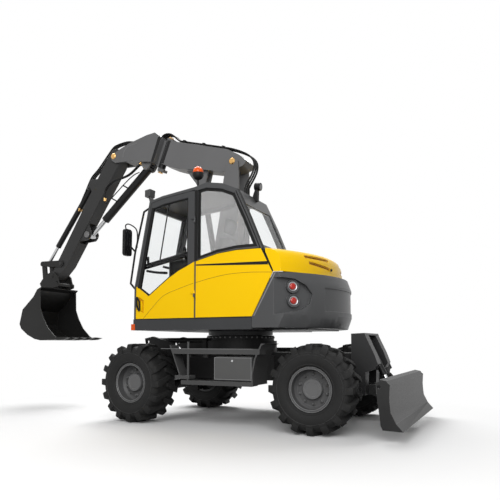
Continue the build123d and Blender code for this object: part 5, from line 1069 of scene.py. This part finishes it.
add_mesh("ring_bolts", mixed(ring_bolts), "chassis", PALE_GREY_AND_HIGHLIGHT)

# Floor, world and lamps
FLOOR_HALF = 80
FLOOR_TONES = (0.84, 0.84, 0.84, 1), (0.86, 0.86, 0.86, 1)
FLOOR_DARK = (0.22, 0.22, 0.22, 1)
WHITE = (1, 1, 1, 1)
FADE = (3.1, 5.4)
FADE_CENTRE = (-1.0, 1.3, 0)
SKY_STRENGTH = 0.3


def seen_rays(nodes):
    """1 for the camera's rays and for those in gloss or through glass, 0 for the others."""
    path = nodes.add("LightPath").outputs
    direct = nodes.math("MAXIMUM", path["Is Camera Ray"], path["Is Transmission Ray"])
    return nodes.math("MAXIMUM", direct, path["Is Glossy Ray"])


def add_floor():
    """A pale floor that takes the shadow near the machine and turns to white farther off.

    Its scattered light comes from a darker tone, so that undersides stay dark.
    """
    grid = np.array([(-1, -1, 0), (1, -1, 0), (1, 1, 0), (-1, 1, 0)], float) * FLOOR_HALF
    mesh = bpy.data.meshes.new("floor")
    mesh.from_pydata(grid.tolist(), [], [[0, 1, 2, 3]])
    floor = bpy.data.objects.new("floor", mesh)
    bpy.context.scene.collection.objects.link(floor)
    material = bpy.data.materials.new("studio_floor")
    material.use_nodes = True
    tree = material.node_tree
    nodes = Nodes(tree)
    shader = tree.nodes["Principled BSDF"]
    place = nodes.add("TexCoord").outputs["Object"]
    noise = nodes.group(MOTTLE, Fine_Scale=90.0)
    near = nodes.mix(noise.outputs["Fine"], *FLOOR_TONES)
    direct = seen_rays(nodes)
    tree.links.new(nodes.mix(direct, FLOOR_DARK, near), shader.inputs["Base Color"])
    shader.inputs["Roughness"].default_value = 0.9
    shader.inputs["Specular IOR Level"].default_value = 0.1
    far = nodes.add("Emission", {"Color": WHITE, "Strength": 1.0})
    reach = nodes.add("VectorMath", {0: place, 1: FADE_CENTRE}, operation="DISTANCE").outputs["Value"]
    share = nodes.math("MULTIPLY", nodes.ramp(reach, *FADE), direct)
    mixer = nodes.add("MixShader", {0: share, 1: shader.outputs[0], 2: far.outputs[0]})
    tree.links.new(mixer.outputs[0], tree.nodes["Material Output"].inputs["Surface"])
    mesh.materials.append(material)


add_floor()


def add_world():
    """White to the camera, to gloss and through glass; a plain soft grey light otherwise."""
    world = bpy.data.worlds.new("studio")
    world.use_nodes = True
    tree = world.node_tree
    tree.nodes.clear()
    nodes = Nodes(tree)
    seen = nodes.add("Background", {"Color": WHITE, "Strength": 1.0})
    lit = nodes.add("Background", {"Color": WHITE, "Strength": SKY_STRENGTH})
    mixer = nodes.add("MixShader", {0: seen_rays(nodes), 1: lit.outputs[0], 2: seen.outputs[0]})
    output = tree.nodes.new("ShaderNodeOutputWorld")
    tree.links.new(mixer.outputs[0], output.inputs[0])
    bpy.context.scene.world = world


add_world()

# Soft lamps: place, target, width, power
LAMPS = [
    ("top", (2.5, -3.5, 9.0), (-0.5, 0, 1.0), 7.0, 1050),
    ("front", (-4.5, 9.5, 6.0), (-0.5, 0, 1.8), 9.0, 1000),
]
for name, place, target, width, power in LAMPS:
    light = bpy.data.lights.new(name, "AREA")
    light.size, light.energy = width, power
    lamp = bpy.data.objects.new(name, light)
    aim = (Vector(target) - Vector(place)).to_track_quat("-Z", "Y")
    lamp.matrix_world = Matrix.Translation(place) @ aim.to_matrix().to_4x4()
    bpy.context.scene.collection.objects.link(lamp)

bpy.context.scene.view_settings.view_transform = "Standard"
